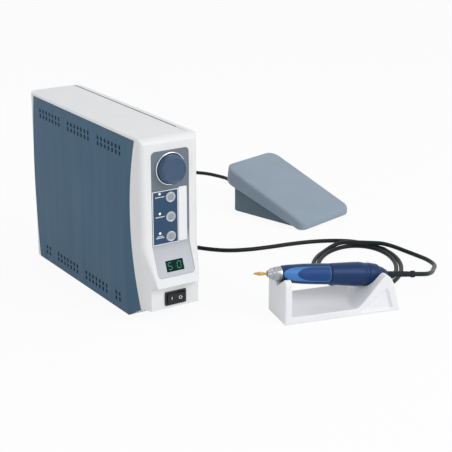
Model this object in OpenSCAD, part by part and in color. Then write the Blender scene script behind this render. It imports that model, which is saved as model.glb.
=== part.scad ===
// Dental micromotor set: control unit, handpiece on its stand, foot pedal and two cords.
// Origin: on the table, under the middle of the control unit. +X to the right, +Y to the back, +Z up.

/* [Control unit shell] */
// Width over the side covers
unit_w = 76; // [74:1:84]
// Height above the table
unit_h = 220; // [214:1:236]
// Depth from the upper front face to the rear wall
unit_d = 297; // [285:1:315]
// Wall of the white mouldings
shell_t = 3; // [2.5:0.5:4]
// Thickness of the front wall that takes the fascia
front_t = 4; // [3.5:0.5:5]
// Thickness of the blue side covers
cover_t = 4; // [3.5:0.5:5]
// Gap between neighbouring covers
cover_gap = 0.5; // [0.3:0.1:0.8]
// Depth of the white flank behind the upper face, at the top
flank_top = 13; // [11:1:15]
// Depth of the white flank behind the upper face, at the bottom
flank_bottom = 6; // [4:1:8]
// Bow of the flank's rear edge towards the back
flank_sag = 18; // [14:1:20]
// Rounding of the housing's upright front edges
face_r = 8; // [5:1:10]
// Rounding of the housing's upper front edge
crown_r = 10; // [6:1:12]
// Rounding of the rear upright edges
rear_r = 14; // [10:1:16]
// Bow of the side cover's rear edge
rear_sag = 8; // [5:1:10]
// Length of the rear cover at its top and bottom
rear_len = 18; // [16:1:24]
// Thickness of the top cover
top_t = 3; // [2.5:0.5:4]
// Distance of the top cover's parting groove from the middle
groove_x = 28.6; // [20:0.2:30]
// Width of the parting groove
groove_w = 1; // [0.6:0.2:1.4]
// Depth of the groove along the top
groove_deep = 2.2; // [1.5:0.1:2.5]
// Thickness of the base tray
tray_t = 2.5; // [2:0.5:3.5]

/* [Console and base] */
// Height of the bend where the console starts
console_z = 92; // [88:1:98]
// Height of the console's lip
lip_z = 47; // [44:1:50]
// Reach of the lip ahead of the upper face
lip_reach = 17; // [14:1:20]
// Width of the lip
lip_w = 55; // [50:1:60]
// Height of the base's underside above the table
base_z = 17.5; // [15:0.5:20]
// Reach of the base ahead of the upper face
base_reach = 7.5; // [6:0.5:9]
// Width of the base's front
base_w = 63; // [60:0.5:63]
// Length of the sloped underside behind the base
chin_len = 30; // [24:1:36]

/* [Side covers] */
// Bow of the crease near the front edge
crease_sag = 17; // [15:1:19]
// Run of the bevel for each millimetre of depth
bevel_run = 12; // [11:1:16]
// Deepest bevel
bevel_t = 3; // [2.6:0.1:3.2]
// Vent slot width
vent_w = 4; // [3:0.5:5]
// Vent slot height
vent_h = 5; // [4:0.5:5.5]
// Spacing of the slots in a row
vent_pitch = 9; // [8:0.5:9.5]
// Spacing of the two rows
vent_row = 7; // [6.5:0.5:9]
// Spacing of the vent groups
vent_group = 79; // [75:1:82]
// Slots in each row of a long group
vent_cols = 7; // [5:1:7]
// Height of the lower vents
vent_low = 15.5; // [14:0.5:20]
// Depth of the upper vents below the top
vent_drop = 22; // [20:0.5:30]

/* [Fascia and controls] */
// Width of the fascia
fascia_w = 49; // [46:1:50]
// Height of the fascia's top edge above the bend
fascia_up = 112.5; // [110:0.5:115]
// Length of the fascia below the bend, along the console
fascia_down = 37; // [34:1:38]
// Thickness of the fascia
fascia_t = 2; // [1.6:0.2:2.4]
// Depth of the fascia below the housing's face
fascia_inset = 0.8; // [0.4:0.2:1]
// Corner rounding of the fascia
fascia_r = 5; // [3:0.5:6]
// Play round the fascia in its pocket
fascia_gap = 0.2; // [0.1:0.1:0.4]
// Rim of the housing that backs the fascia
fascia_rim = 3; // [2:0.5:4]
// Height of the knob's axis above the bend
knob_up = 91; // [89:0.5:92]
// Diameter of the knob
knob_d = 34; // [30:0.5:35]
// Length of the knob
knob_len = 12; // [9:0.5:15]
// Width of the bright ring round the knob
ring_w = 1.8; // [1.2:0.2:2.4]
// Height of the bright ring
ring_h = 3; // [2:0.5:4]
// Radial play between knob and ring
ring_gap = 0.5; // [0.3:0.1:0.8]
// Diameter of the potentiometer's shaft
pot_shaft_d = 6; // [5:0.5:6.5]
// Diameter of the potentiometer's bush
pot_bush_d = 8; // [8:0.2:9]
// Diameter of the potentiometer's body
pot_d = 16; // [14:0.5:17]
// Depth of the potentiometer's body
pot_h = 9; // [7:0.5:11]
// Width of the key label
label_w = 34.5; // [33:0.5:35.5]
// Height of the key label
label_h = 65; // [63:0.5:66]
// Thickness of the key label
label_t = 0.5; // [0.3:0.1:0.7]
// Width of the bare strip beside the label
strip_w = 11; // [9:0.5:12]
// Diameter of a push button
button_d = 12.6; // [11:0.2:13]
// Spacing of the push buttons
button_pitch = 23.6; // [22:0.2:24]
// Height of the lowest button above the bend
button_up = 10; // [9.5:0.5:11]
// How far a button stands out of the label
button_out = 1.6; // [1:0.2:2.4]
// Radial play of a button in its hole
button_gap = 0.15; // [0.1:0.05:0.25]
// Travel of a button
button_travel = 0.8; // [0.6:0.1:0.9]
// Diameter of an indicator lens
lens_d = 3; // [2.4:0.2:3.6]
// Distance of the lenses to the left of the buttons
lens_x = 14; // [12:0.5:16]
// Distance of the lenses above the buttons
lens_up = 5.4; // [3:0.2:6]
// Width of the display window
window_w = 23; // [20:0.5:25]
// Height of the display window along the console
window_h = 13; // [11:0.5:14]
// Distance of the window's middle below the bend
window_down = 24.5; // [22:0.5:26]
// Thickness of the display window
window_t = 1; // [0.8:0.1:1.2]
// Distance between the fascia and the control board
board_gap = 9; // [8.5:0.5:10]
// Thickness of the circuit boards
board_t = 1.6; // [1.2:0.2:2]
// Width of the power switch's frame
switch_w = 28; // [26:0.5:30]
// Height of the power switch's frame
switch_h = 16.7; // [15:0.1:17.4]
// Height of the power switch's middle above the base's underside
switch_up = 12; // [11.5:0.5:13]
// Tip of the rocker to each side
rocker_tip = 8; // [6:1:9]

/* [Inside and rear] */
// Transformer core, along the unit
core_l = 66; // [60:1:72]
// Transformer core, across the unit
core_w = 36; // [30:1:40]
// Transformer core, height
core_h = 55; // [50:1:60]
// Limb of the transformer core
limb = 11; // [10:0.5:12]
// Play of the coil round the limb
coil_gap = 0.2; // [0.1:0.1:0.4]
// Length of the main board
main_l = 110; // [100:1:120]
// Width of the main board
main_w = 58; // [50:1:60]
// Height of the main board's underside
main_z = 10; // [8:0.5:12]
// Height of the mains inlet's middle
inlet_z = 36; // [32:1:40]
// Height of the motor socket
motor_z = 70; // [66:1:74]
// Height of the pedal socket
pedal_z = 100; // [96:1:104]
// Height of the fuse holder
fuse_z = 130; // [124:1:140]
// Diameter of the sockets' barrels
socket_d = 13; // [12:0.5:15]
// Diameter of the cord plugs
plug_d = 16; // [14:0.5:17]
// Length of a cord plug outside its socket
plug_len = 36; // [30:1:40]

/* [Handpiece] */
// Length from the nose to the end of the rear cap
hand_l = 155; // [150:1:160]
// Length of the nose cone
nose_l = 17; // [16:0.5:18]
// Length of the twist sleeve
sleeve_l = 61.5; // [60:0.5:63]
// Length of the motor case
case_l = 49; // [47:0.5:51]
// Diameter at the front of the sleeve
sleeve_d1 = 19.2; // [18.8:0.2:20]
// Diameter at the rear of the sleeve
sleeve_d2 = 25; // [24.6:0.2:25.6]
// Largest diameter of the motor case
case_d = 27.2; // [26.6:0.2:28]
// Wall of the handpiece shells
hand_t = 1.6; // [1.4:0.1:1.8]
// Diameter of the spindle
spindle_d = 5; // [4:0.2:5.4]
// Diameter of the bearings
bearing_d = 12; // [11.6:0.2:12.4]
// Width of a bearing
bearing_w = 5; // [4:0.5:6]
// Wall of the spindle tube
tube_t = 1.2; // [1:0.1:1.4]
// Diameter of the collet
collet_d = 4; // [3.6:0.2:4.4]
// Shank diameter of the bur
shank_d = 2.35; // [2:0.05:2.6]
// Length of the bur ahead of the nose
bur_out = 17; // [14:0.5:20]
// Head diameter of the bur
bur_d = 4.6; // [3:0.2:5.4]
// Diameter of the rotor magnet
magnet_d = 13; // [12:0.5:14]
// Length of the rotor magnet
magnet_l = 30; // [26:1:32]
// Air gap between rotor and stator
air_gap = 0.5; // [0.4:0.1:0.8]
// Running clearance of turning parts, radial
run_gap = 0.05; // [0.03:0.01:0.08]
// Clearance between parts that twist or lie beside each other
slip_gap = 0.3; // [0.2:0.1:0.5]
// Diameter of the cord boot
boot_d = 6.6; // [6.4:0.1:7.4]
// Length of the boot outside the rear cap
boot_l = 38; // [36:0.5:39]

/* [Stand] */
// Length of the stand
stand_l = 147; // [142:1:152]
// Depth of the stand
stand_w = 54; // [50:1:58]
// Thickness of the upright that carries the nose
upright_t = 9; // [7:0.5:11]
// Height of the upright's humps
hump_z = 54.5; // [52:0.5:57]
// Rounding of the humps
hump_r = 8; // [6:0.5:9]
// Slope of the notch between the humps in degrees
notch_slope = 33; // [31:1:36]
// Height of the ramp's peak
peak_z = 46; // [44:0.5:47.5]
// Distance of the peak from the right foot
peak_back = 19; // [17:0.5:21]
// Height of the trough's front edge
trough_z = 9; // [7:0.5:11]
// Length of the ramp's rise to its peak
ramp_l = 46; // [43:1:49]
// Depth of the side recesses
recess_t = 3; // [2:0.5:5]
// Clearance between handpiece and stand
cradle_gap = 0.4; // [0.3:0.1:0.6]

/* [Foot pedal] */
// Width of the pedal plate
pedal_w = 106; // [102:1:112]
// Length of the pedal plate
pedal_l = 142; // [138:1:148]
// Height of the plate's high end
pedal_h = 69; // [66:1:72]
// Height of the plate's low end
pedal_low = 14.5; // [13:0.5:16]
// Depth of the skirt at the high end
skirt_h = 24; // [22:1:26]
// Wall of the pedal mouldings
pedal_t = 3; // [2.5:0.5:3.5]
// Gap between skirt and base
skirt_gap = 2; // [1.5:0.5:3]
// Corner rounding at the high end
pedal_r = 18; // [14:1:22]
// Corner rounding at the low end
toe_r = 6; // [5:0.5:8]
// Diameter of the hinge pin
pin_d = 4; // [3.5:0.5:4.5]
// Distance of the hinge pin from the low end
pin_in = 12; // [11:0.5:13]
// Height of the hinge pin
pin_z = 5.5; // [5.25:0.25:5.75]
// Height of the pedal's rubber feet
foot_h = 2; // [1.5:0.5:2]
// Travel of the pedal in degrees
pedal_tip = 6; // [5:0.5:6]
// Wire diameter of the pedal spring
spring_wire = 1.6; // [1.2:0.1:2]
// Mean diameter of the pedal spring
spring_d = 14; // [12:0.5:16]
// Turns of the pedal spring
spring_turns = 6; // [5:1:7]

/* [Cords] */
// Diameter of the motor cord
motor_cord_d = 5.6; // [5:0.1:6]
// Diameter of the pedal cord
pedal_cord_d = 5.4; // [5:0.1:5.6]
// Turns of the motor cord on the table
loop_turns = 2; // [2:1:2]
// Turns of the pedal cord in each layer of its coil
coil_turns = 3; // [2:1:3]
// Clear gap between neighbouring turns
turn_gap = 0.8; // [0.6:0.1:1.2]

/* [Hidden] */

$fn = 64;
e = 0.01;

// Places of the pieces on the table
front_y = -140;
rear_y = front_y + unit_d;
half = unit_w / 2;
stand_at = [97.9, -230.7];
stand_yaw = -13.3;
pedal_at = [362, 45.4];
pedal_yaw = 15.3;

// Flat outlines
// Rounded rectangle about the origin
module pad(w, h, r) {
    square([w - 2 * r, h], center = true);
    square([w, h - 2 * r], center = true);
    for (sx = [-1, 1], sy = [-1, 1])
        translate([sx * (w / 2 - r), sy * (h / 2 - r)]) circle(r);
}

// Strip of width w from y = 0 to y = l, with the corners at y = 0 rounded
module tongue(w, l, r) {
    translate([-w / 2, r]) square([w, l - r]);
    translate([-w / 2 + r, 0]) square([w - 2 * r, r + e]);
    for (s = [-1, 1]) translate([s * (w / 2 - r), r]) circle(r);
}

// Extrude a side view, drawn as (depth, height), across the unit
module across(w) {
    rotate([90, 0, 90]) linear_extrude(w, center = true) children();
}

// Extrude a front view, drawn as (width, height), from y to y + depth
module deep(y, depth) {
    translate([0, y + depth, 0]) rotate([90, 0, 0]) linear_extrude(depth) children();
}

// Turn a shape drawn up the z axis so that it points to the front
module frontward() {
    rotate([90, 0, 0]) children();
}

// Circle through p and q that bows towards the back by s
function bow_r(p, q, s) = (pow(norm(q - p), 2) / 4 + s * s) / (2 * s);
function bow_c(p, q, s) = let (d = (q - p) / norm(q - p)) (p + q) / 2 - [-d[1], d[0]] * (bow_r(p, q, s) - s);

module bow_disc(p, q, s, grow = 0) {
    translate(bow_c(p, q, s)) circle(bow_r(p, q, s) + grow, $fn = 180);
}

// Control unit shell
flank_p = [front_y + flank_top, unit_h];
flank_q = [front_y + flank_bottom, base_z];
chin_p = [front_y + flank_bottom + chin_len, 0];
rear_p = [rear_y - rear_len, unit_h];
rear_q = [rear_y - rear_len, 0];
cover_top = unit_h - top_t - cover_gap;
slope_a = atan(lip_reach / (console_z - lip_z));
slope_l = norm([lip_reach, console_z - lip_z]);
face_deep = 60;

module on_slope() {
    translate([0, front_y, console_z]) rotate([-slope_a, 0, 0]) children();
}

module upper_plan() {
    translate([0, front_y]) tongue(unit_w, face_deep, face_r);
}

module wedge_plan(reach, w) {
    shoulder = front_y + flank_bottom;
    polygon([[-half, front_y + face_deep], [-half, shoulder], [-w / 2, front_y - reach],
        [w / 2, front_y - reach], [half, shoulder], [half, front_y + face_deep]]);
}

// What lies outside a rounded corner at p, whose arms point along sx and sy
module outside_corner(p, r, sx, sy) {
    translate(p) mirror([sx < 0 ? 1 : 0, 0]) mirror([0, sy < 0 ? 1 : 0]) translate([-r, -r]) difference() {
        square(r + 1);
        circle(r);
    }
}

// Front view of the top cover: its long edges are rounded
module edge_view() {
    translate([-half, 0]) square([unit_w, unit_h - top_t]);
    translate([-half + top_t, 0]) square([unit_w - 2 * top_t, unit_h]);
    for (s = [-1, 1]) translate([s * (half - top_t), unit_h - top_t]) circle(top_t);
}

// Points at depth d behind the housing's face: at the bend, and at length l down the console
function bend_at(d) = [front_y + d, console_z - d * tan(slope_a / 2)];
function slope_at(d, l) = [front_y + d * cos(slope_a) - l * sin(slope_a),
    console_z - d * sin(slope_a) - l * cos(slope_a)];

// The bent fascia panel, from depth y0 to depth y1 behind the face, grown by g all round
module fascia_body(y0, y1, g = 0) {
    top = console_z + fascia_up + g;
    low = console_z - fascia_down * cos(slope_a) - g;
    l = fascia_down + 6;
    intersection() {
        across(fascia_w + 10) polygon([[front_y + y0, top + 5], bend_at(y0), slope_at(y0, l), slope_at(y1, l),
            bend_at(y1), [front_y + y1, top + 5]]);
        deep(front_y - 40, 60) translate([0, (top + low) / 2]) pad(fascia_w + 2 * g, top - low, fascia_r + g);
    }
}

module front_housing() {
    inner_w = unit_w - 2 * shell_t;
    pocket_w = lip_w - 2 * shell_t;
    base_y = front_y - base_reach;
    win_w = fascia_w - 2 * fascia_rim;
    color("#EDEEF0") difference() {
        union() {
            hull() translate([0, 0, console_z]) linear_extrude(unit_h - console_z) upper_plan($fn = 48);
            hull() {
                translate([0, 0, console_z]) linear_extrude(1) upper_plan($fn = 48);
                translate([0, 0, lip_z]) linear_extrude(0.6) wedge_plan(lip_reach, lip_w);
            }
            translate([0, 0, base_z]) linear_extrude(lip_z - base_z + 0.3) wedge_plan(base_reach, base_w);
        }
        across(unit_w + 4) difference() {
            translate([front_y - 40, -5]) square([40 + face_deep + 5, unit_h + 10]);
            bow_disc(flank_p, flank_q, flank_sag);
        }
        across(unit_w + 4) outside_corner([front_y, unit_h], crown_r, -1, 1);
        deep(front_y - 1, face_deep) {
            outside_corner([half, unit_h], top_t, 1, 1);
            outside_corner([-half, unit_h], top_t, -1, 1);
        }
        // Room behind the front wall, open to the rear
        translate([-inner_w / 2, front_y + front_t, base_z + shell_t])
            cube([inner_w, face_deep, unit_h - base_z - 2 * shell_t]);
        translate([-pocket_w / 2, base_y + shell_t, base_z + shell_t])
            cube([pocket_w, base_reach + front_t, lip_z + 10 - base_z]);
        // Pocket and window for the fascia
        fascia_body(-5, fascia_inset + fascia_t + fascia_gap / 2, fascia_gap);
        deep(front_y - 1, front_t + 2) translate([0, console_z + (fascia_up - fascia_rim / 2) / 2])
            pad(win_w, fascia_up - 1.5 * fascia_rim, fascia_r - 1);
        on_slope() deep(-1, 20) translate([0, -window_down])
            pad(window_w + 5, window_h + 5, 1);
        // Hole for the power switch
        deep(base_y - 1, shell_t + 2) translate([0, base_z + switch_up])
            pad(switch_w - 3, switch_h - 3, 1);
    }
}

// Front of the fascia, and heights on it
fascia_y = front_y + fascia_inset;
fascia_back = fascia_y + fascia_t;
knob_z = console_z + knob_up;
board_y = fascia_back + board_gap;
label_mid = [-fascia_w / 2 + 0.5 + label_w / 2, console_z + 1.2 + label_h / 2];
function button_z(i) = console_z + button_up + i * button_pitch;
board_half = fascia_w / 2 - fascia_rim - 0.5;
post_x = board_half - 4;
post_z = [console_z + 6, console_z + 72];
post_d = 5;

module front_fascia() {
    color("#8B9299") difference() {
        union() {
            fascia_body(fascia_inset, fascia_inset + fascia_t);
            for (x = [-post_x, post_x], z = post_z)
                translate([x, board_y, z]) frontward() cylinder(d = post_d, h = board_gap + e);
        }
        translate([0, fascia_back + 1, knob_z]) frontward() cylinder(d = pot_bush_d + 0.2, h = fascia_t + 2);
        for (i = [0 : 2]) {
            translate([0, fascia_back + 1, button_z(i)]) frontward()
                cylinder(d = button_d + 2 * button_gap, h = fascia_t + 2);
            translate([-lens_x, fascia_back + 1, button_z(i) + lens_up]) frontward()
                cylinder(d = lens_d + 0.2, h = fascia_t + 2);
        }
        on_slope() deep(fascia_inset - 1, window_t + 1) translate([0, -window_down])
            pad(window_w + 0.2, window_h + 0.2, 0.8);
        on_slope() deep(0, 6) translate([0, -window_down]) pad(window_w - 2, window_h - 2, 0.6);
    }
}

module key_label() {
    color("#3A5A7A") difference() {
        deep(fascia_y - label_t, label_t) translate(label_mid) pad(label_w, label_h, 1.5);
        for (i = [0 : 2]) {
            translate([0, fascia_y + 1, button_z(i)]) frontward()
                cylinder(d = button_d + 2 * button_gap, h = 3);
            translate([-lens_x, fascia_y + 1, button_z(i) + lens_up]) frontward()
                cylinder(d = lens_d + 0.2, h = 3);
        }
    }
}

module label_strip() {
    x = label_mid[0] + label_w / 2 + 0.3 + strip_w / 2;
    color("#F2F3F5") deep(fascia_y - label_t, label_t) translate([x, label_mid[1] + 1])
        pad(strip_w, label_h, 1.5);
}

module push_button(i) {
    tip = board_y - switch_tall - button_travel - 0.2;
    flange = fascia_back + 1.2;
    front = fascia_y - label_t - button_out;
    color("#C8CDD4") translate([0, 0, button_z(i)]) {
        translate([0, fascia_back, 0]) frontward() difference() {
            cylinder(d = button_d, h = fascia_back - front);
            translate([0, 0, fascia_back - front + 30 - 0.5]) sphere(30);
        }
        translate([0, flange, 0]) frontward() cylinder(d = button_d + 2, h = flange - fascia_back);
        translate([0, tip, 0]) frontward() cylinder(d = 5, h = tip - flange + e);
    }
}
module upper_button() { push_button(2); }
module middle_button() { push_button(1); }
module lower_button() { push_button(0); }

module indicator_lenses() {
    color("#9FD7A0") for (i = [0 : 2]) translate([-lens_x, 0, button_z(i) + lens_up]) {
        translate([0, fascia_back, 0]) frontward() cylinder(d = lens_d, h = fascia_t + label_t + 0.3);
        translate([0, fascia_back + 1, 0]) frontward() cylinder(d = lens_d + 1.2, h = 1);
    }
}

// Knob, its ring and the potentiometer behind it
knob_gap = 0.6;
module knob_ring() {
    color("#D9DDE2") translate([0, fascia_y, knob_z]) frontward() rotate_extrude() {
        translate([knob_d / 2 + ring_gap, 0]) square([ring_w, ring_h - ring_w / 2]);
        translate([knob_d / 2 + ring_gap + ring_w / 2, ring_h - ring_w / 2]) circle(ring_w / 2);
    }
}

module speed_knob() {
    r = knob_d / 2;
    bevel = 2.2;
    color("#4F6A85") translate([0, fascia_y - knob_gap, knob_z]) frontward() difference() {
        rotate_extrude() polygon([[0, 0], [r, 0], [r, 2], [r - 0.6, knob_len - bevel],
            [r - bevel - 0.6, knob_len],
            [r - bevel - 1.6, knob_len], [r - bevel - 2.2, knob_len - 0.6], [0, knob_len - 0.6]]);
        translate([0, 0, -1]) cylinder(d = pot_shaft_d + 0.04, h = knob_len - 3 + 1);
    }
}

pot_floor = 2;
module knob_shaft() {
    l = pot_h - pot_floor + fascia_t + knob_gap + knob_len - 3.5;
    color("#B9BDC2") translate([0, fascia_back + pot_h - pot_floor, knob_z]) frontward()
        cylinder(d = pot_shaft_d, h = l);
}

module speed_potentiometer() {
    color("#6E7A68") translate([0, fascia_back, knob_z]) difference() {
        union() {
            translate([0, pot_h, 0]) frontward() cylinder(d = pot_d, h = pot_h);
            frontward() cylinder(d = pot_bush_d, h = fascia_t + 0.4);
        }
        translate([0, pot_h - pot_floor + 0.05, 0]) frontward()
            cylinder(d = pot_shaft_d + 2 * run_gap, h = pot_h + fascia_t + 2);
    }
}

module display_window() {
    color("#0B2A22") on_slope() deep(fascia_inset, window_t) translate([0, -window_down])
        pad(window_w, window_h, 0.8);
}

module display_module() {
    depth = 7;
    color("#20262A") on_slope() {
        deep(fascia_inset + fascia_t, depth) translate([0, -window_down])
            square([window_w + 3, window_h + 3], center = true);
        deep(fascia_inset + window_t + 0.1, fascia_t - window_t) translate([0, -window_down])
            square([window_w - 3, window_h - 3], center = true);
    }
}

module control_board() {
    z0 = post_z[0] - 4;
    h = post_z[1] - post_z[0] + 8;
    color("#2F6B3A") translate([-board_half, board_y, z0]) cube([2 * board_half, board_t, h]);
}

switch_tall = 5;
module tact_switches() {
    color("#2A2C2E") for (i = [0 : 2]) translate([0, board_y, button_z(i)]) {
        translate([-3, -switch_tall + 1.5, -3]) cube([6, switch_tall - 1.5, 6]);
        frontward() cylinder(d = 3.4, h = switch_tall);
    }
}

// Power switch in the base: the rocker tips about an upright axis
switch_y = front_y - base_reach;
switch_z = base_z + switch_up;
bezel_t = 1.8;
rocker_l = switch_w - 7;
rocker_h = switch_h - 5.4;
rocker_pivot = 2;
rocker_deep = 3;
module switch_frame() {
    body_l = 16;
    color("#17191B") translate([0, 0, switch_z]) difference() {
        union() {
            deep(switch_y - bezel_t, bezel_t) pad(switch_w, switch_h, 1.5);
            deep(switch_y, body_l) pad(switch_w - 3.4, switch_h - 3.4, 0.8);
        }
        deep(switch_y - bezel_t - 1, bezel_t + 1 + 8) square([rocker_l + 2, rocker_h + 0.6], center = true);
    }
}

module power_rocker() {
    y = switch_y - bezel_t + rocker_pivot;
    color("#1E2022") translate([0, y, switch_z]) rotate([0, 0, -rocker_tip])
        linear_extrude(rocker_h, center = true)
            polygon([[-rocker_l / 2, -4.4], [0, -2.6], [rocker_l / 2, -4.4], [rocker_l / 2, rocker_deep - 1],
                [2, rocker_deep + 0.5], [-2, rocker_deep + 0.5], [-rocker_l / 2, rocker_deep - 1]]);
}

module top_cover() {
    color("#F2F3F4") difference() {
        intersection() {
            deep(front_y, unit_d) edge_view();
            translate([0, 0, unit_h - top_t]) linear_extrude(top_t) rear_plan(0);
        }
        across(unit_w + 1) bow_disc(flank_p, flank_q, flank_sag, cover_gap);
        translate([groove_x - groove_w / 2, front_y, unit_h - groove_deep])
            cube([groove_w, unit_d + 1, groove_deep + 1]);
    }
}

// Plan of the body behind the flank, inset by g, with round rear corners
module rear_plan(g) {
    translate([0, rear_y - g]) mirror([0, 1]) tongue(unit_w - 2 * g, unit_d - g, rear_r - g);
}

// Rows of vent slots about y, as a side view
module vents(y, z, cols) {
    for (i = [0 : cols - 1], j = [-0.5, 0.5])
        translate([y + (i - (cols - 1) / 2) * vent_pitch, z + j * vent_row])
            square([vent_w, vent_h], center = true);
}

module panel_view() {
    vent_mid = front_y + unit_d / 2 + 6.5;
    difference() {
        intersection() {
            translate([front_y, 0]) square([unit_d, cover_top]);
            bow_disc(rear_p, rear_q, rear_sag);
        }
        bow_disc(flank_p, flank_q, flank_sag, cover_gap);
        polygon([chin_p, flank_q, [front_y - 40, base_z], [front_y - 40, -1], [chin_p[0], -1]]);
        for (k = [-1 : 1]) vents(vent_mid + k * vent_group, unit_h - vent_drop, vent_cols);
        for (s = [-1, 1]) {
            vents(vent_mid + 3 + s * vent_group / 2, vent_low, vent_cols);
            vents(vent_mid + 3 + s * (vent_group / 2 + vent_cols * vent_pitch - 7), vent_low, 2);
        }
    }
}

module right_panel() {
    crease_q = [chin_p[0] + 2, 0];
    r = bow_r(flank_p, crease_q, crease_sag);
    c = bow_c(flank_p, crease_q, crease_sag);
    color("#44607A") difference() {
        translate([half - cover_t / 2, 0, 0]) across(cover_t) panel_view();
        translate([half - bevel_t, c[0], c[1]]) rotate([0, 90, 0])
            cylinder(h = bevel_t + 1, r1 = r - bevel_t * bevel_run, r2 = r + bevel_run, $fn = 180);
    }
}

module left_panel() {
    mirror([1, 0, 0]) right_panel();
}

// Rear cover with the sockets' holes
rear_in = rear_y - shell_t;
inlet_w = 27;
inlet_h = 20;
fuse_d = 12;
screw_d = 3;
screw_x = half - rear_r - 4;
// Heights of the rear screws: over the fuse and below the top
screw_over = 20;
screw_under = 12;
screw_levels = [fuse_z + screw_over, cover_top - screw_under];
module rear_cover() {
    color("#E4E6E8") difference() {
        linear_extrude(cover_top) rear_plan(0);
        across(unit_w + 1) bow_disc(rear_p, rear_q, rear_sag, cover_gap);
        translate([0, 0, tray_t]) linear_extrude(unit_h) rear_plan(shell_t);
        translate([0, 0, -1]) linear_extrude(tray_t + 2) rear_plan(cover_t + cover_gap);
        deep(rear_in - 1, shell_t + 2) translate([0, inlet_z]) pad(inlet_w + 0.2, inlet_h + 0.2, 2);
        for (z = [motor_z, pedal_z])
            translate([0, rear_y + 1, z]) frontward() cylinder(d = socket_d + 0.2, h = shell_t + 2);
        translate([0, rear_y + 1, fuse_z]) frontward() cylinder(d = fuse_d + 0.2, h = shell_t + 2);
        for (x = [-screw_x, screw_x], z = screw_levels)
            translate([x, rear_y + 1, z]) frontward() cylinder(d = screw_d + 0.2, h = shell_t + 2);
    }
}

module cover_screws() {
    color("#B9BDC2") for (x = [-screw_x, screw_x], z = screw_levels)
        translate([x, rear_y, z]) rotate([-90, 0, 0]) difference() {
            union() {
                cylinder(d = 6, h = 1.8);
                translate([0, 0, -8]) cylinder(d = screw_d, h = 8 + e);
            }
            for (a = [0, 90]) rotate(a) translate([-2, -0.4, 1]) cube([4, 0.8, 2]);
        }
}

tray_w = unit_w - 2 * cover_t - 2 * cover_gap;
tray_end = rear_y - cover_t - 2 * cover_gap;
main_y = chin_p[0] + 12;
main_x = main_w / 2 - 5;
core_y = tray_end - 62;
module base_tray() {
    d = (flank_q - chin_p) * 0.93;
    color("#A9AEB3") {
        across(tray_w) polygon([chin_p, chin_p + d, chin_p + d + [0, tray_t], chin_p + [1, tray_t],
            [tray_end - rear_r, tray_t], [tray_end - rear_r, 0]]);
        translate([0, tray_end - rear_r - e, 0]) linear_extrude(tray_t)
            translate([0, rear_r + e]) mirror([0, 1])
                tongue(tray_w, rear_r + e, rear_r - cover_t - 2 * cover_gap);
        for (x = [-main_x, main_x], y = [main_y + 6, main_y + main_l - 6])
            translate([x, y, tray_t - e]) cylinder(d = 6, h = main_z - tray_t + e);
    }
}

module transformer_core() {
    window_l = (core_l - 4 * limb) / 2;
    color("#7E8287") translate([0, core_y, tray_t]) difference() {
        translate([-core_w / 2, -core_l / 2, 0]) cube([core_w, core_l, core_h]);
        for (s = [-1, 1]) translate([-core_w / 2 - 1, s * (limb + window_l / 2) - window_l / 2, limb])
            cube([core_w + 2, window_l, core_h - 2 * limb]);
    }
}

module transformer_coil() {
    window_l = (core_l - 4 * limb) / 2;
    g = coil_gap;
    h = core_h - 2 * limb - 2 * g;
    color("#B5763A") translate([0, core_y, tray_t + limb + g]) linear_extrude(h) difference() {
        pad(core_w + 2 * window_l - 2, 2 * (limb + window_l - g), 5);
        square([core_w + 2 * g, 2 * (limb + g)], center = true);
    }
}

module main_board() {
    color("#2F6B3A") translate([-main_w / 2, main_y, main_z]) cube([main_w, main_l, board_t]);
}

module capacitors() {
    color("#26405E") for (s = [-1, 1]) translate([s * 13, main_y + main_l - 22, main_z + board_t]) {
        cylinder(d = 20, h = 34);
    }
}

module heat_sink() {
    fins = 7;
    pitch = 6;
    color("#5B6066") translate([0, main_y + 40, main_z + board_t]) {
        translate([-fins * pitch / 2, -12, 0]) cube([fins * pitch, 24, 4]);
        for (i = [0 : fins - 1]) translate([(i - (fins - 1) / 2) * pitch - 1, -12, 4 - e]) cube([2, 24, 26]);
    }
}

module mains_inlet() {
    body_l = 22;
    mouth = [24, 16.6];
    color("#1B1D1F") translate([0, 0, inlet_z]) difference() {
        union() {
            deep(rear_y, 2) pad(inlet_w + 4, inlet_h + 4, 3);
            deep(rear_y - body_l, body_l + e) pad(inlet_w, inlet_h, 2);
        }
        deep(rear_y - 16, 20) difference() {
            square(mouth, center = true);
            for (p = [[-7, -1.5], [0, 2.5], [7, -1.5]]) translate(p) square([2, 4], center = true);
        }
        deep(rear_y - 5, 10) square(mouth, center = true);
    }
}

module fuse_holder() {
    color("#1B1D1F") translate([0, rear_y, fuse_z]) rotate([-90, 0, 0]) {
        cylinder(d = fuse_d + 3, h = 2);
        translate([0, 0, 2 - e]) cylinder(d = fuse_d - 1, h = 6);
        translate([0, 0, -26]) cylinder(d = fuse_d, h = 26 + e);
    }
}

// A panel socket: a flanged barrel with a bore for the plug's spigot
spigot_d = 9;
spigot_l = 10;
module panel_socket(z) {
    color("#3A3D40") translate([0, rear_y, z]) rotate([-90, 0, 0]) difference() {
        union() {
            cylinder(d = socket_d + 4, h = 2);
            translate([0, 0, -14]) cylinder(d = socket_d, h = 14 + e);
        }
        translate([0, 0, -spigot_l - 0.3]) cylinder(d = spigot_d + 0.2, h = spigot_l + 5);
    }
}

module cord_sockets() {
    panel_socket(motor_z);
    panel_socket(pedal_z);
}

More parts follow.
